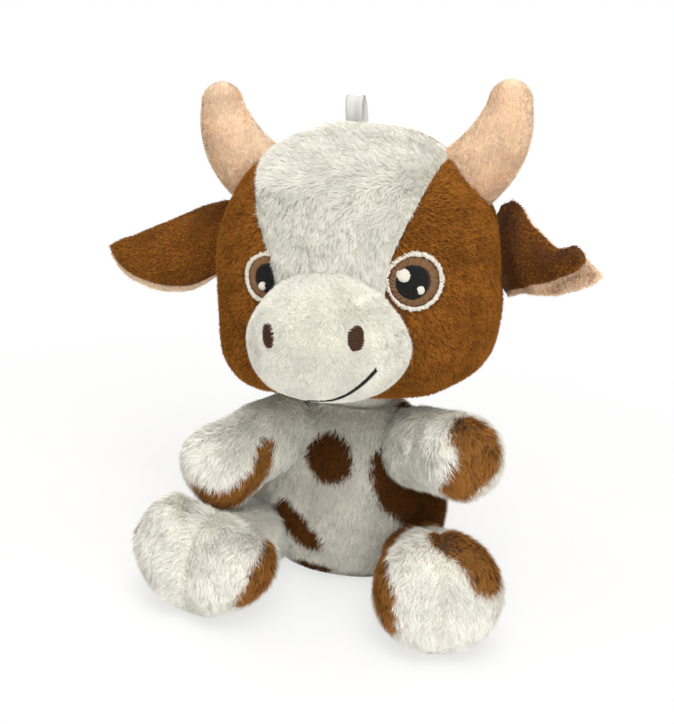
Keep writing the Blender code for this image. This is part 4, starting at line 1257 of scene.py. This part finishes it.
def stitchMesh(name, tree, view, stitches, lift, puff):
    points, edges = [], []
    for start, end in stitches:
        a, b = np.array(start), np.array(end)
        shares = np.array((0.0, 0.12, 0.38, 0.62, 0.88, 1.0))
        first = len(points)
        for share in shares:
            tucked = 0.0004 if share in (0.0, 1.0) else 0.0
            rise = lift + puff * math.sin(math.pi * share) - tucked
            points.append(onFabric(tree, view, a + (b - a) * share, rise))
        edges += [(first + step, first + step + 1) for step in range(len(shares) - 1)]
    mesh = bpy.data.meshes.new(name)
    mesh.from_pydata([tuple(point) for point in points], edges, [])
    mesh.transform(headPlace)
    return mesh


# the solid ground under stitches, whose last ring is tucked into the fabric
def sewnPatch(name, tree, view, outline, lift, finish):
    turn = np.arange(48) / 48 * math.tau
    grid = []
    for share, height in ((0.35, lift), (0.7, lift), (1.0, lift), (1.0, -0.0006)):
        grid.append([onFabric(tree, view, outline(angle) * share, height) for angle in turn])
    middle = onFabric(tree, view, outline(0.0) * 0.5 + outline(math.pi) * 0.5, lift)
    mesh = closedSkin(np.array(grid[::-1]), None, middle)
    mesh.transform(headPlace)
    return skinObject(name, mesh, finish, "head")


def stitched(name, mesh, thread, finish):
    made = grown(name, mesh, stitchTree,
                 {"Thread": thread, "Sides": 6, "Material": finishes[finish]})
    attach(made, "head")
    return made


def ovalOutline(wide, high, at=(0.0, 0.0)):
    return lambda angle: np.array(at) + np.array((wide * math.cos(angle), high * math.sin(angle)))


def fillStitches(outline, spacing, slant, length=None, seed=1):  # parallel threads over an oval
    chance = np.random.default_rng(seed)
    ring = np.array([outline(angle) for angle in np.linspace(0.0, math.tau, 72, endpoint=False)])
    middle = ring.mean(axis=0)
    along = np.array((math.cos(slant), math.sin(slant)))
    across = np.array((-along[1], along[0]))
    wide = (ring - middle) @ across
    reach = wide.max()
    found = []
    for row, offset in enumerate(np.arange(-reach + spacing / 2.0, reach, spacing)):
        order = np.argsort(np.abs(wide - offset))[:2]
        half = np.abs((ring[order] - middle) @ along).max()
        half *= 1.0 + chance.uniform(-0.05, 0.04)
        cuts = [-half, half]
        if length and 2.0 * half > length * 1.4:
            inner = np.arange(-half + length * (0.5 + 0.5 * (row % 2)), half - length * 0.3, length)
            cuts = [-half, *inner, half]
        base = middle + across * offset
        found += [(base + along * a, base + along * b) for a, b in zip(cuts, cuts[1:])]
    return found


def ringStitches(outline, count, inner, outer, slant, seed=2):
    chance = np.random.default_rng(seed)
    found = []
    for step in range(count):
        angle = math.tau * (step + chance.uniform(-0.15, 0.15)) / count
        low = inner(angle) * (1.0 + chance.uniform(-0.025, 0.025))
        high = outer(angle) * (1.0 + chance.uniform(-0.040, 0.030))
        found.append((outline(angle) * low, outline(angle + slant) * high))
    return found


for word, side in bothSides:
    sizes, own = eyeStitch, eyeStitch[word]
    view = faceFrame(headTree, side * own["spread"], own["rise"], side * own["turn"])
    wide, high, lift, thread = own["wide"], own["high"], sizes["lift"], sizes["thread"]
    lifts = sizes["lifts"]
    rim = ovalOutline(wide, high)

    def thinRing(angle):  # the white ring is thinner towards the nose
        off = math.remainder(angle - math.radians(90.0 + side * sizes["thinAt"]), math.tau)
        return 1.0 - sizes["thinBy"] * math.exp(-((off / sizes["thinOver"]) ** 2))

    # the eye's near-black ground is painted shade in the gaps between its stitches
    ground = sewnPatch(f"{word}_eye_ground", headTree, view,
                       lambda angle: rim(angle) * thinRing(angle) * sizes["groundTo"],
                       lift * lifts["ground"], "gapShadeThread")
    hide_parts(f"{word}_eye")
    kind = sizes["ring"]
    mesh = stitchMesh(f"{word}_eye_ring", headTree, view,
                      ringStitches(rim, kind["count"], lambda angle: sizes["whiteFrom"],
                                   thinRing, kind["slant"]), lift, kind["puff"])
    stitched(f"{word}_eye_ring", mesh, thread * kind["thread"], "whiteThread")
    iris = ovalOutline(wide * sizes["irisTo"], high * sizes["irisTo"])
    sewnPatch(f"{word}_eye_edge", headTree, view, iris, lift * lifts["edge"], "brownThread")
    kind = sizes["iris"]
    mesh = stitchMesh(f"{word}_eye_iris", headTree, view,
                      ringStitches(iris, kind["count"], lambda angle: sizes["iris"]["span"][0],
                                   lambda angle: sizes["iris"]["span"][1], kind["slant"], 5),
                      lift * lifts["iris"], kind["puff"])
    stitched(f"{word}_eye_iris", mesh, thread * kind["thread"], "irisThread")
    nearNose = (side * sizes["pupilAt"][0], sizes["pupilAt"][1])
    pupil = ovalOutline(wide * sizes["pupil"][0], high * sizes["pupil"][1], nearNose)
    sewnPatch(f"{word}_eye_pupil", headTree, view, pupil, lift * lifts["pupil"], "blackThread")
    kind = sizes["fill"]
    stitches = fillStitches(pupil, kind["spacing"], math.radians(kind["slant"]), kind["length"])
    mesh = stitchMesh(f"{word}_eye_pupil", headTree, view, stitches,
                      lift * lifts["pupilStitches"], kind["puff"])
    stitched(f"{word}_eye_pupil_stitches", mesh, thread, "blackThread")
    kind = sizes["shine"]
    for glint in sizes["glints"][word]:
        at, (half, tall) = sizes[glint]
        stitches = fillStitches(ovalOutline(half, tall, (side * at[0], at[1])), kind["spacing"],
                                math.radians(kind["slants"][glint]))
        mesh = stitchMesh(glint, headTree, view, stitches, lift * lifts["glint"], kind["puff"])
        stitched(f"{word}_eye_{glint}", mesh, thread * kind["thread"], "whiteThread")

    sizes = nostrilStitch
    view = faceFrame(muzzleTree, side * sizes["spread"], -sizes["drop"], 0.0)
    hole = ovalOutline(sizes["wide"], sizes["high"])
    # the nostril's near-black ground is painted shade between its cords
    ground = sewnPatch(f"{word}_nostril_ground", muzzleTree, view, hole, sizes["lift"],
                       "gapShadeThread")
    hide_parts(f"{word}_nostril")
    stitches = fillStitches(hole, sizes["spacing"], math.radians(sizes["slant"]))
    mesh = stitchMesh("nostril", muzzleTree, view, stitches, sizes["lift"], sizes["puff"])
    stitched(f"{word}_nostril_stitches", mesh, sizes["thread"] * sizes["cord"], "brownThread")

sizes = smileStitch
view = faceFrame(muzzleTree, 0.0, -sizes["aim"], 0.0)
view = (view[0], view[1], view[2], view[3] + view[1] * sizes["aim"])
stitches = []
for step in range(sizes["count"]):
    share = step / (sizes["count"] - 1.0)
    x = sizes["start"] + (sizes["end"] - sizes["start"]) * share
    z = sizes["lift"] * share ** sizes["curve"] - sizes["drop"]
    slope = sizes["lift"] * sizes["curve"] * share ** (sizes["curve"] - 1.0)
    way = unit(np.array([[sizes["end"] - sizes["start"], slope]]))[0]
    half = sizes["stroke"] / 2.0 * (sizes["thin"] + (1.0 - sizes["thin"]) * share)
    reach = np.array((-way[1], way[0])) * half + way * half * sizes["slope"]
    stitches.append((np.array((x, z)) - reach, np.array((x, z)) + reach))
mesh = stitchMesh("smile", muzzleTree, view, stitches, sizes["over"], sizes["puff"])
smile = stitched("smile_stitches", mesh, sizes["thread"], "blackThread")
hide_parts("smile_stitch")
print("face embroidered")

for word, side in bothSides:
    form = hornSkin(side)
    hidden = depthIn(pointsOf(form), headTree)
    form.transform(headPlace)
    form.update()
    horn = skinObject(f"{word}_horn_skin", form, "peachCloth", "head")
    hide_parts(f"{word}_horn_cover", f"{word}_horn_stuffing")
    fur = pileOn(horn, "peach", downComb(0.0, 0.1, 1.0), (hidden < 0.0005).astype(float),
                 seed=31 + int(side))
    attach(fur, "head")
print("horns sewn")

earFaces = (  # side, pile, node, slot, cloth and length of pile
    (1.0, "nap", "back", "brown_plush", "brownCloth", 0.62),
    (-1.0, "peach", "lining", "peach_velboa", "peachCloth", 1.0),
)
for word, side in bothSides:
    outward = np.array((side, 0.0, -0.3))
    for face, kind, node, slotName, cloth, pile in earFaces:
        pad = earPad(f"{word}_ear_{node}", face)
        hidden = depthIn(pointsOf(pad), headTree)
        pad.transform(headPlace)
        pad.update()
        outer = np.arange(len(pad.vertices)) < len(pad.vertices) // 2
        if face > 0.0:
            brownTree = treeOf(pad)
        else:  # the lining's free edge has its pile on both faces
            outer |= depthIn(pointsOf(pad), brownTree) < -0.0008
        ear = skinObject(f"{word}_ear_{node}_skin", pad, cloth, f"{word}_ear")
        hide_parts(f"{word}_ear_{node}")
        cover = ((hidden < 0.0005) & outer).astype(float)
        fur = pileOn(ear, kind, downComb(*outward), cover, pile, seed=41 + len(allFur))
        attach(fur, f"{word}_ear")
print("ears sewn")

footShape = {
    "from": (0.016, 0.036), "wider": {"left": 1.01, "right": 1.22},
    "sole": {"left": 0.93, "right": 0.96}, "soleBy": 0.017,
    "seam": {"left": 0.0010, "right": 0.0018}, "seamWidth": 0.0024,
    "pressed": 0.0058, "pressedIn": (-0.056, -0.048), "pressedOut": (-0.027, -0.018),
    "pressedUp": (0.022, 0.042), "armGap": 0.0024,
    "pucker": (-0.0400, -0.0765, 0.0335), "puckerDepth": 0.0030, "puckerWidth": 0.0030,
    "puckerWay": (0.12, 0.90, -0.40),
}


def shapeArm(word, points, normals, soft):  # fuller shoulders
    at, span = armShape["fullerAt"]
    soft = soft + armShape["fuller"][word] * np.exp(-(((points[:, 2] - at) / span) ** 2))
    return points + normals * soft[:, None]


def shapeLeg(word, points, normals, soft):  # a wider foot with a sewn groove
    shape, along = footShape, points[:, 2]
    foot = smoothStep(*shape["from"], along)
    points = points + normals * soft[:, None]
    points[:, 0] *= 1.0 + (shape["wider"][word] - 1.0) * foot
    groove = seamGroove(points[:, 0], shape["seam"][word], shape["seamWidth"])
    return points + normals * (groove * foot * (points[:, 1] > -0.004))[:, None]


def flatSole(word, form, place):  # the foot stands on a narrower sole
    shape, points = footShape, pointsOf(form)
    points[:, 2] = np.maximum(points[:, 2], 0.0004)
    local = placed(points, place.inverted())
    narrow = shape["sole"][word] / shape["wider"][word] - 1.0
    low = 1.0 - smoothStep(0.0, shape["soleBy"], points[:, 2])
    narrow *= low * smoothStep(*shape["from"], local[:, 2])
    local[:, 0] *= 1.0 + narrow
    flat = points[:, 2].copy()
    points = placed(local, place)
    points[:, 2] = flat
    setPoints(form, points)


def pushedOff(form, tree, gap):  # moves a form's points out of another that it would touch
    form.update()
    points = pointsOf(form)
    for index, point in enumerate(points):
        place, normal, _, far = tree.find_nearest(Vector(point), 0.02)
        if place is None:
            continue
        apart = math.copysign(far, (Vector(point) - place).dot(normal))
        if apart < gap:
            points[index] += np.array(normal) * (gap - apart)
    setPoints(form, points)


def pressFoot(leg, arm):  # the foot's top is pressed under the arm and puckers in front of it
    shape, points = footShape, pointsOf(leg)
    pressed = smoothStep(*shape["pressedIn"], points[:, 0])
    pressed *= 1.0 - smoothStep(*shape["pressedOut"], points[:, 0])
    points[:, 2] -= shape["pressed"] * pressed * smoothStep(*shape["pressedUp"], points[:, 2])
    setPoints(leg, points)
    pushedOff(leg, treeOf(arm), shape["armGap"])
    points = pointsOf(leg)
    apart = np.linalg.norm(points - np.array(shape["pucker"]), axis=1)
    deep = shape["puckerDepth"] * np.exp(-((apart / shape["puckerWidth"]) ** 2))
    setPoints(leg, points + np.array(shape["puckerWay"]) * deep[:, None])


limbForms, limbPlaces = {}, {}
for limb, shape, ends, moved in (
    ("arm", armShape, (0.004, 0.020), shapeArm),
    ("leg", legShape, (0.030, 0.004), shapeLeg),
):
    for word, side in bothSides:
        form = limbSkin(shape)
        points, normals = pointsOf(form), normalsOf(form)
        inset = shape["inset"] * smoothStep(*ends, points[:, 2])
        soft = shape["lumps"] * lumps(points, shape["lumpSpan"], 5 + len(limbForms)) - inset
        place = limbPlace(shape, word)
        setPoints(form, placed(moved(word, points, normals, soft), place))
        if limb == "leg":
            flatSole(word, form, place)
        limbForms[f"{word}_{limb}"], limbPlaces[f"{word}_{limb}"] = form, place
pressFoot(limbForms["right_leg"], limbForms["right_arm"])


def shapeTorso(points, normals):
    _, y, z = points.T
    side = seamGroove(y - torsoShape["sideSeam"]) * (z > 0.002)
    height, span, seed = torsoShape["soft"]
    soft = height * lumps(points, span, seed)
    moved = points + normals * (side + soft - torsoShape["inset"])[:, None]
    moved[:, 2] = np.where(z < 1e-6, 0.0, np.maximum(moved[:, 2], 0.0006))
    return moved


torsoForm = torsoSkin()
setPoints(torsoForm, shapeTorso(pointsOf(torsoForm), normalsOf(torsoForm)))
torsoTree = treeOf(torsoForm)
limbTrees = {name: treeOf(form) for name, form in limbForms.items()}

bodyPatches = [  # (start, end, size at start, size at end)
    ((-0.0052, -0.030, 0.0540), (-0.0048, -0.031, 0.0525), 0.0088, 0.0088),
    ((-0.0205, -0.0305, 0.0285), (-0.0090, -0.034, 0.0200), 0.0047, 0.0050),
    ((-0.0120, -0.024, 0.0040), (-0.0040, -0.027, 0.0030), 0.0050, 0.0050),
    ((0.0200, -0.028, 0.0520), (0.0230, -0.028, 0.0440), 0.0100, 0.0100),
    ((0.0230, -0.028, 0.0440), (0.0370, -0.014, 0.0310), 0.0100, 0.0120),
    ((0.0150, -0.012, 0.0690), (0.0180, -0.010, 0.0670), 0.0040, 0.0040),
]
limbPatches = {
    "right_arm": [
        ((-0.0275, -0.040, 0.0580), (-0.0298, -0.043, 0.0470), 0.0036, 0.0052),
        ((-0.0298, -0.043, 0.0470), (-0.0390, -0.050, 0.0390), 0.0052, 0.0062),
        ((-0.0390, -0.050, 0.0390), (-0.0550, -0.052, 0.0385), 0.0062, 0.0054),
    ],
    "left_arm": [
        ((0.0480, -0.049, 0.0775), (0.0510, -0.050, 0.0700), 0.0085, 0.0088),
        ((0.0490, -0.053, 0.0680), (0.0440, -0.0545, 0.0600), 0.0075, 0.0066),
    ],
    "right_leg": [
        ((-0.0180, -0.066, 0.0290), (-0.0185, -0.074, 0.0235), 0.0052, 0.0066),
        ((-0.0185, -0.074, 0.0235), (-0.0215, -0.0785, 0.0150), 0.0066, 0.0052),
        ((-0.0640, -0.055, 0.0330), (-0.0680, -0.062, 0.0220), 0.0045, 0.0036),
    ],
    "left_leg": [
        ((0.0460, -0.064, 0.0430), (0.0600, -0.067, 0.0350), 0.0080, 0.0085),
        ((0.0350, -0.022, 0.0300), (0.0240, -0.030, 0.0270), 0.0075, 0.0066),
        ((0.0240, -0.030, 0.0270), (0.0226, -0.046, 0.0270), 0.0066, 0.0070),
        ((0.0226, -0.046, 0.0270), (0.0222, -0.064, 0.0285), 0.0070, 0.0072),
        ((0.0222, -0.064, 0.0285), (0.0240, -0.0755, 0.0250), 0.0072, 0.0064),
        ((0.0240, -0.0755, 0.0250), (0.0265, -0.0785, 0.0150), 0.0064, 0.0050),
    ],
}

baseCut = torsoShape["baseCut"]
torsoCuts = [
    (Vector((0, 0, baseCut)), Vector((0, 0, 1)), lambda at: True),
    (Vector((0, torsoShape["sideSeam"], 0)), Vector((0, 1, 0)), lambda at: at.z > baseCut),
]


def torsoPanel(at):
    if at.z < baseCut:
        return "body_base_skin"
    return "body_front_skin" if at.y < torsoShape["sideSeam"] else "body_back_skin"


bodyPile = {"floor": (0.45, 0.0, 0.012), "underHead": (0.65, -0.0100, -0.0045),
            "clear": 0.002, "baseCover": 0.3, "base": 0.3}
limbPile = {"floor": (0.35, 0.0, 0.012), "underArm": (0.65, -0.0060, -0.0030), "clear": 0.001,
            "seamWidth": 0.0030, "seamFrom": (0.020, 0.036), "seam": 0.5,
            "tuftAt": (0.0345, -0.0555, 0.0670), "tuftWidth": 0.0070, "tuft": 0.75}


def underHead(points):  # the pile is pressed short where the head rests
    near = depthIn(placed(points, headPlace.inverted()), headTree)
    return shortened(*bodyPile["underHead"], near)


for name, mesh in panelsOf(torsoForm, torsoCuts, torsoPanel).items():
    points = pointsOf(mesh)
    hidden = np.full(len(points), -1.0)
    for tree in limbTrees.values():
        hidden = np.maximum(hidden, depthIn(points, tree))
    node = name.removesuffix("_skin")
    skin = skinObject(name, mesh, "whiteCloth", "torso")
    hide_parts(node, *(("body_stuffing",) if node == "body_front" else ()))
    patch = patchField(points, bodyPatches)
    cover = (hidden < bodyPile["clear"]).astype(float)
    pile = shortest(*bodyPile["floor"], points[:, 2]) * underHead(points)
    if node == "body_base":
        cover, pile = cover * bodyPile["baseCover"], bodyPile["base"]
    fur = pileOn(skin, "body", downComb(0.0, 0.0, -1.0), cover, pile, patch, 51 + len(allFur))
    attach(fur, "torso")
    thickened(skin)
print("body sewn")


def splitLimb(name, form, place):
    limb = name.split("_")[1]
    into = place.inverted()
    axis = place.col[1].to_3d() if limb == "arm" else place.col[0].to_3d()
    halves = ("upper", "lower") if limb == "arm" else ("outer", "inner")
    side = 1.0 if limb == "arm" or name.startswith("left") else -1.0
    row = 1 if limb == "arm" else 0

    def halfAt(at):
        return halves[0] if (into @ at)[row] * side > 0.0 else halves[1]

    return panelsOf(form, [(place.translation, axis, lambda at: True)], halfAt)


for name, form in limbForms.items():
    word, limb = name.split("_")
    place = limbPlaces[name]
    way = place.col[2].to_3d()
    start, end = place.translation - way * 0.002, place.translation + way * 0.014
    for half, mesh in splitLimb(name, form, place).items():
        points = pointsOf(mesh)
        hidden = depthIn(points, torsoTree)
        skin = skinObject(f"{name}_{half}_skin", mesh, "whiteCloth")
        nodes = [f"{name}_{half}"]
        if half in ("upper", "outer"):
            nodes.append(f"{name}_stuffing")
        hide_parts(*nodes)
        patch = patchField(points, limbPatches[name])
        cover = (hidden < limbPile["clear"]).astype(float)
        lean = way * 0.6 + Vector((0.0, 0.0, -1.0))
        comb = downComb(*lean)
        pile = underHead(points)
        if name == "left_arm":  # tufts at its seam
            apart = np.linalg.norm(points - np.array(limbPile["tuftAt"]), axis=1)
            pile += limbPile["tuft"] * np.exp(-((apart / limbPile["tuftWidth"]) ** 2))
        if limb == "leg":
            local = placed(points, place.inverted())
            seam = np.exp(-((local[:, 0] / limbPile["seamWidth"]) ** 2))
            seam *= smoothStep(*limbPile["seamFrom"], local[:, 2])
            seam *= footShape["seam"][word] / footShape["seam"]["right"]
            pile = shortest(*limbPile["floor"], points[:, 2]) * (1.0 - limbPile["seam"] * seam)
            if word == "right":
                near = depthIn(points, limbTrees["right_arm"])
                pile *= shortened(*limbPile["underArm"], near)
            comb = partedComb(lean, place, footShape["seam"][word])
        fur = pileOn(skin, "limb", comb, cover, pile, patch, 61 + len(allFur))
        for made in (skin, fur):
            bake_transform(made)
        thickened(skin)
print("limbs sewn")

neckShape = {"radius": 0.0146, "pile": 0.5, "cover": 0.5, "coverHeight": 0.007, "rows": 32,
             "columns": 56}
rise = -np.cos(np.pi * np.arange(1, neckShape["rows"]) / neckShape["rows"])
span = neckShape["radius"] * np.sqrt(1.0 - rise**2)
centres = np.stack([rise * 0.0, rise * 0.0, rise * neckShape["radius"]], axis=1)
top = Vector((0.0, 0.0, neckShape["radius"]))
form = closedSkin(ringGrid(centres, span, span, span, neckShape["columns"], 2.0), -top, top)
form.transform(Matrix.Translation(headShape["pivot"]))
form.update()
neck = skinObject("neck_skin", form, "whiteCloth", "neck")
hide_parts("neck_stuffing")
points = pointsOf(form)
shown = np.abs(points[:, 2] - headShape["pivot"][2]) < neckShape["coverHeight"]
cover = neckShape["cover"] * shown
fur = pileOn(neck, "body", downComb(0.0, 0.0, -1.0), cover, neckShape["pile"], seed=81)
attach(fur, "neck")

tailShape = {"height": 0.0370, "radius": 0.0022, "length": 0.0190, "droop": 55.0, "gap": 0.0004,
             "knots": 0.06, "knotSpan": 0.0011, "tuftRadius": 0.0046, "tuftLength": 0.0150,
             "overlap": 0.0030}
sizes = tailShape
root = onTorso(sizes["height"], math.pi) + Vector((0.0, sizes["radius"] + sizes["gap"], 0.0))
drop = -math.pi / 2.0 - math.radians(sizes["droop"])
place = Matrix.Translation(root) @ Matrix.Rotation(drop, 4, "X")
along = np.linspace(-sizes["radius"], sizes["length"], 40)
path = np.stack([along * 0.0, along * 0.0, along], axis=1)
radii = sizes["radius"] * np.sqrt(np.clip(1.0 - np.minimum(along / sizes["radius"], 0.0) ** 2,
                                          0.01, 1.0))
radii = radii * (1.0 + sizes["knots"] * np.sin(along / sizes["knotSpan"]))
form = tubeSkin(path, radii, 24)
form.transform(place)
form.update()
tail = skinObject("tail_skin", form, "brownCloth", "tail")
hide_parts("tail")
fur = pileOn(tail, "nap", downComb(*place.col[2].to_3d()), 1.0, 0.8, seed=82)
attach(fur, "tail")
share = np.linspace(0.02, 0.98, 30)
along = sizes["length"] - sizes["overlap"] + sizes["tuftLength"] * share
path = np.stack([along * 0.0, along * 0.0, along], axis=1)
form = tubeSkin(path, sizes["tuftRadius"] * np.sin(np.pi * share**0.8), 32)
form.transform(place)
form.update()
tuft = skinObject("tail_tuft_skin", form, "whiteCloth", "tail")
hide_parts("tail_tuft")
fur = pileOn(tuft, "locks", downComb(*(place.col[2].to_3d() * 2.0)), 1.0, 1.0, seed=83)
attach(fur, "tail")

loopShape = {"width": 0.0065, "half": 0.0038, "height": 0.0105, "sink": 0.0020,
             "thickness": 0.00022, "lean": (-0.0018, 0.0012), "waves": (0.00025, 0.0002),
             "rows": 60, "columns": 12}
sizes = loopShape
rows, columns = sizes["rows"], sizes["columns"]
foot = headCentre + Vector((0.0, headShape["backSeam"], headShape["above"]))
turn = np.linspace(0.0, math.pi, rows)
y = -sizes["half"] * np.cos(turn) * np.sin(turn) ** 0.35
z = -sizes["sink"] + (sizes["height"] + sizes["sink"]) * np.sin(turn) ** 0.8
across = np.linspace(-0.5, 0.5, columns)
grid = np.empty((rows, columns, 3))
for row in range(rows):
    swing = sizes["lean"][1] * (row / (rows - 1.0)) ** 2 + sizes["lean"][0]
    grid[row, :, 0] = across * sizes["width"] + swing
    grid[row, :, 1] = y[row] + sizes["waves"][0] * np.cos(across * 9.0)
    grid[row, :, 2] = z[row] + sizes["waves"][1] * np.sin(across * 6.0 + row / 7.0)
index = np.arange(rows * columns).reshape(rows, columns)
quads = np.stack([index[:-1, :-1], index[:-1, 1:], index[1:, 1:], index[1:, :-1]], axis=-1)
mesh = bpy.data.meshes.new("loop")
points = grid.reshape(-1, 3) + np.array(foot)
mesh.from_pydata(points.tolist(), [], quads.reshape(-1, 4).tolist())
mesh.transform(headPlace)
mesh.update()
loop = skinObject("hang_loop_ribbon", mesh, "ribbon", "loop")
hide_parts("hang_loop")
thickened(loop, sizes["thickness"])
print("neck, tail and loop sewn")

cameraView = {  # focal length and width are in pixels of the photo
    "place": (0.0598, -0.5024, 0.2490),
    "turn": ((0.981, -0.141, 0.132), (0.169, 0.291, -0.942), (0.094, 0.946, 0.310)),
    "focal": 1351.9, "width": 674.0, "raised": -0.012, "sensor": 36.0, "near": 0.01,
}
lens = bpy.data.cameras.new("camera")
camera = bpy.data.objects.new("camera", lens)
bpy.context.collection.objects.link(camera)
turn = Matrix(cameraView["turn"]).to_quaternion().to_matrix().to_4x4()
camera.matrix_world = Matrix.Translation(cameraView["place"]) @ turn
lens.sensor_fit, lens.sensor_width = "HORIZONTAL", cameraView["sensor"]
lens.lens = cameraView["focal"] / cameraView["width"] * lens.sensor_width
lens.shift_y = cameraView["raised"]
lens.clip_start = cameraView["near"]
bpy.context.scene.camera = camera

lamps = {  # place, size and power of each soft light
    "key": {"place": (0.12, -0.55, 1.05), "size": 0.7, "power": 7.4},
    "top": {"place": (-0.10, 0.05, 1.10), "size": 0.8, "power": 4.6},
    "front": {"place": (0.35, -1.0, 0.30), "size": 0.9, "power": 6.0},
    "back": {"place": (-0.20, 1.20, 0.45), "size": 0.9, "power": 3.0},
}
lampAim = (0.0, -0.02, 0.09)
for name, sizes in lamps.items():
    light = bpy.data.lights.new(name, "AREA")
    light.shape, light.size, light.energy = "SQUARE", sizes["size"], sizes["power"]
    lamp = bpy.data.objects.new(name, light)
    bpy.context.collection.objects.link(lamp)
    aim = (Vector(lampAim) - Vector(sizes["place"])).to_track_quat("-Z", "Y")
    lamp.matrix_world = Matrix.Translation(sizes["place"]) @ aim.to_matrix().to_4x4()

studioAir = {"colour": (1.0, 0.95, 0.82, 1.0), "strength": 0.29}
world = bpy.data.worlds.new("studio")
bpy.context.scene.world = world
world.use_nodes = True
nodes, links = world.node_tree.nodes, world.node_tree.links
air = nodes["Background"]
air.inputs["Color"].default_value = studioAir["colour"]
air.inputs["Strength"].default_value = studioAir["strength"]
shown = nodes.new("ShaderNodeBackground")
shown.inputs["Color"].default_value = (1.0, 1.0, 1.0, 1.0)
shown.inputs["Strength"].default_value = 1.0
path, either = nodes.new("ShaderNodeLightPath"), nodes.new("ShaderNodeMath")
either.operation = "ADD"
either.use_clamp = True
links.new(path.outputs["Is Camera Ray"], either.inputs[0])
links.new(path.outputs["Is Transmission Ray"], either.inputs[1])
mixed = nodes.new("ShaderNodeMixShader")
links.new(either.outputs[0], mixed.inputs[0])
links.new(air.outputs[0], mixed.inputs[1])
links.new(shown.outputs[0], mixed.inputs[2])
links.new(mixed.outputs[0], nodes["World Output"].inputs["Surface"])

floorLook = {"half": 3.0, "pale": (0.88, 0.88, 0.88), "paler": (0.91, 0.91, 0.91),
             "rough": 0.8, "roughSpread": 0.1, "fade": (0.10, 0.34), "white": (0.7, 0.3)}
floorMesh = bpy.data.meshes.new("floor")
half = floorLook["half"]
floorMesh.from_pydata([(-half, -half, 0), (half, -half, 0), (half, half, 0), (-half, half, 0)],
                      [], [(0, 1, 2, 3)])
floor = bpy.data.objects.new("floor", floorMesh)
bpy.context.collection.objects.link(floor)
floorPaint = Shader("paleFloor")
grain = floorPaint.speckle(6.0)
floorPaint.finish(Base_Color=floorPaint.mix(grain, floorLook["pale"], floorLook["paler"]),
                  Roughness=grain * floorLook["roughSpread"] + floorLook["rough"])
apart = floorPaint.node("ShaderNodeVectorMath", {"operation": "LENGTH"}, floorPaint.place(),
                        output="Value")
seen = floorPaint.node("ShaderNodeLightPath", {}, output="Is Camera Ray")
white = floorPaint.node("ShaderNodeEmission", {}, (1.0, 1.0, 1.0, 1.0), 1.0)
near, far = floorLook["white"]
fade = apart.between(*floorLook["fade"]) * far + near  # whiter away from the toy's shadow
paint = floorPaint.node("ShaderNodeMixShader", {}, seen * fade,
                        Socket(floorPaint, floorPaint.main.outputs[0]), white)
floorPaint.links.new(paint.output, floorPaint.nodes["Material Output"].inputs["Surface"])
floorMesh.materials.append(floorPaint.material)
bpy.context.scene.view_settings.view_transform = "Standard"
print("camera, lamps and floor set")
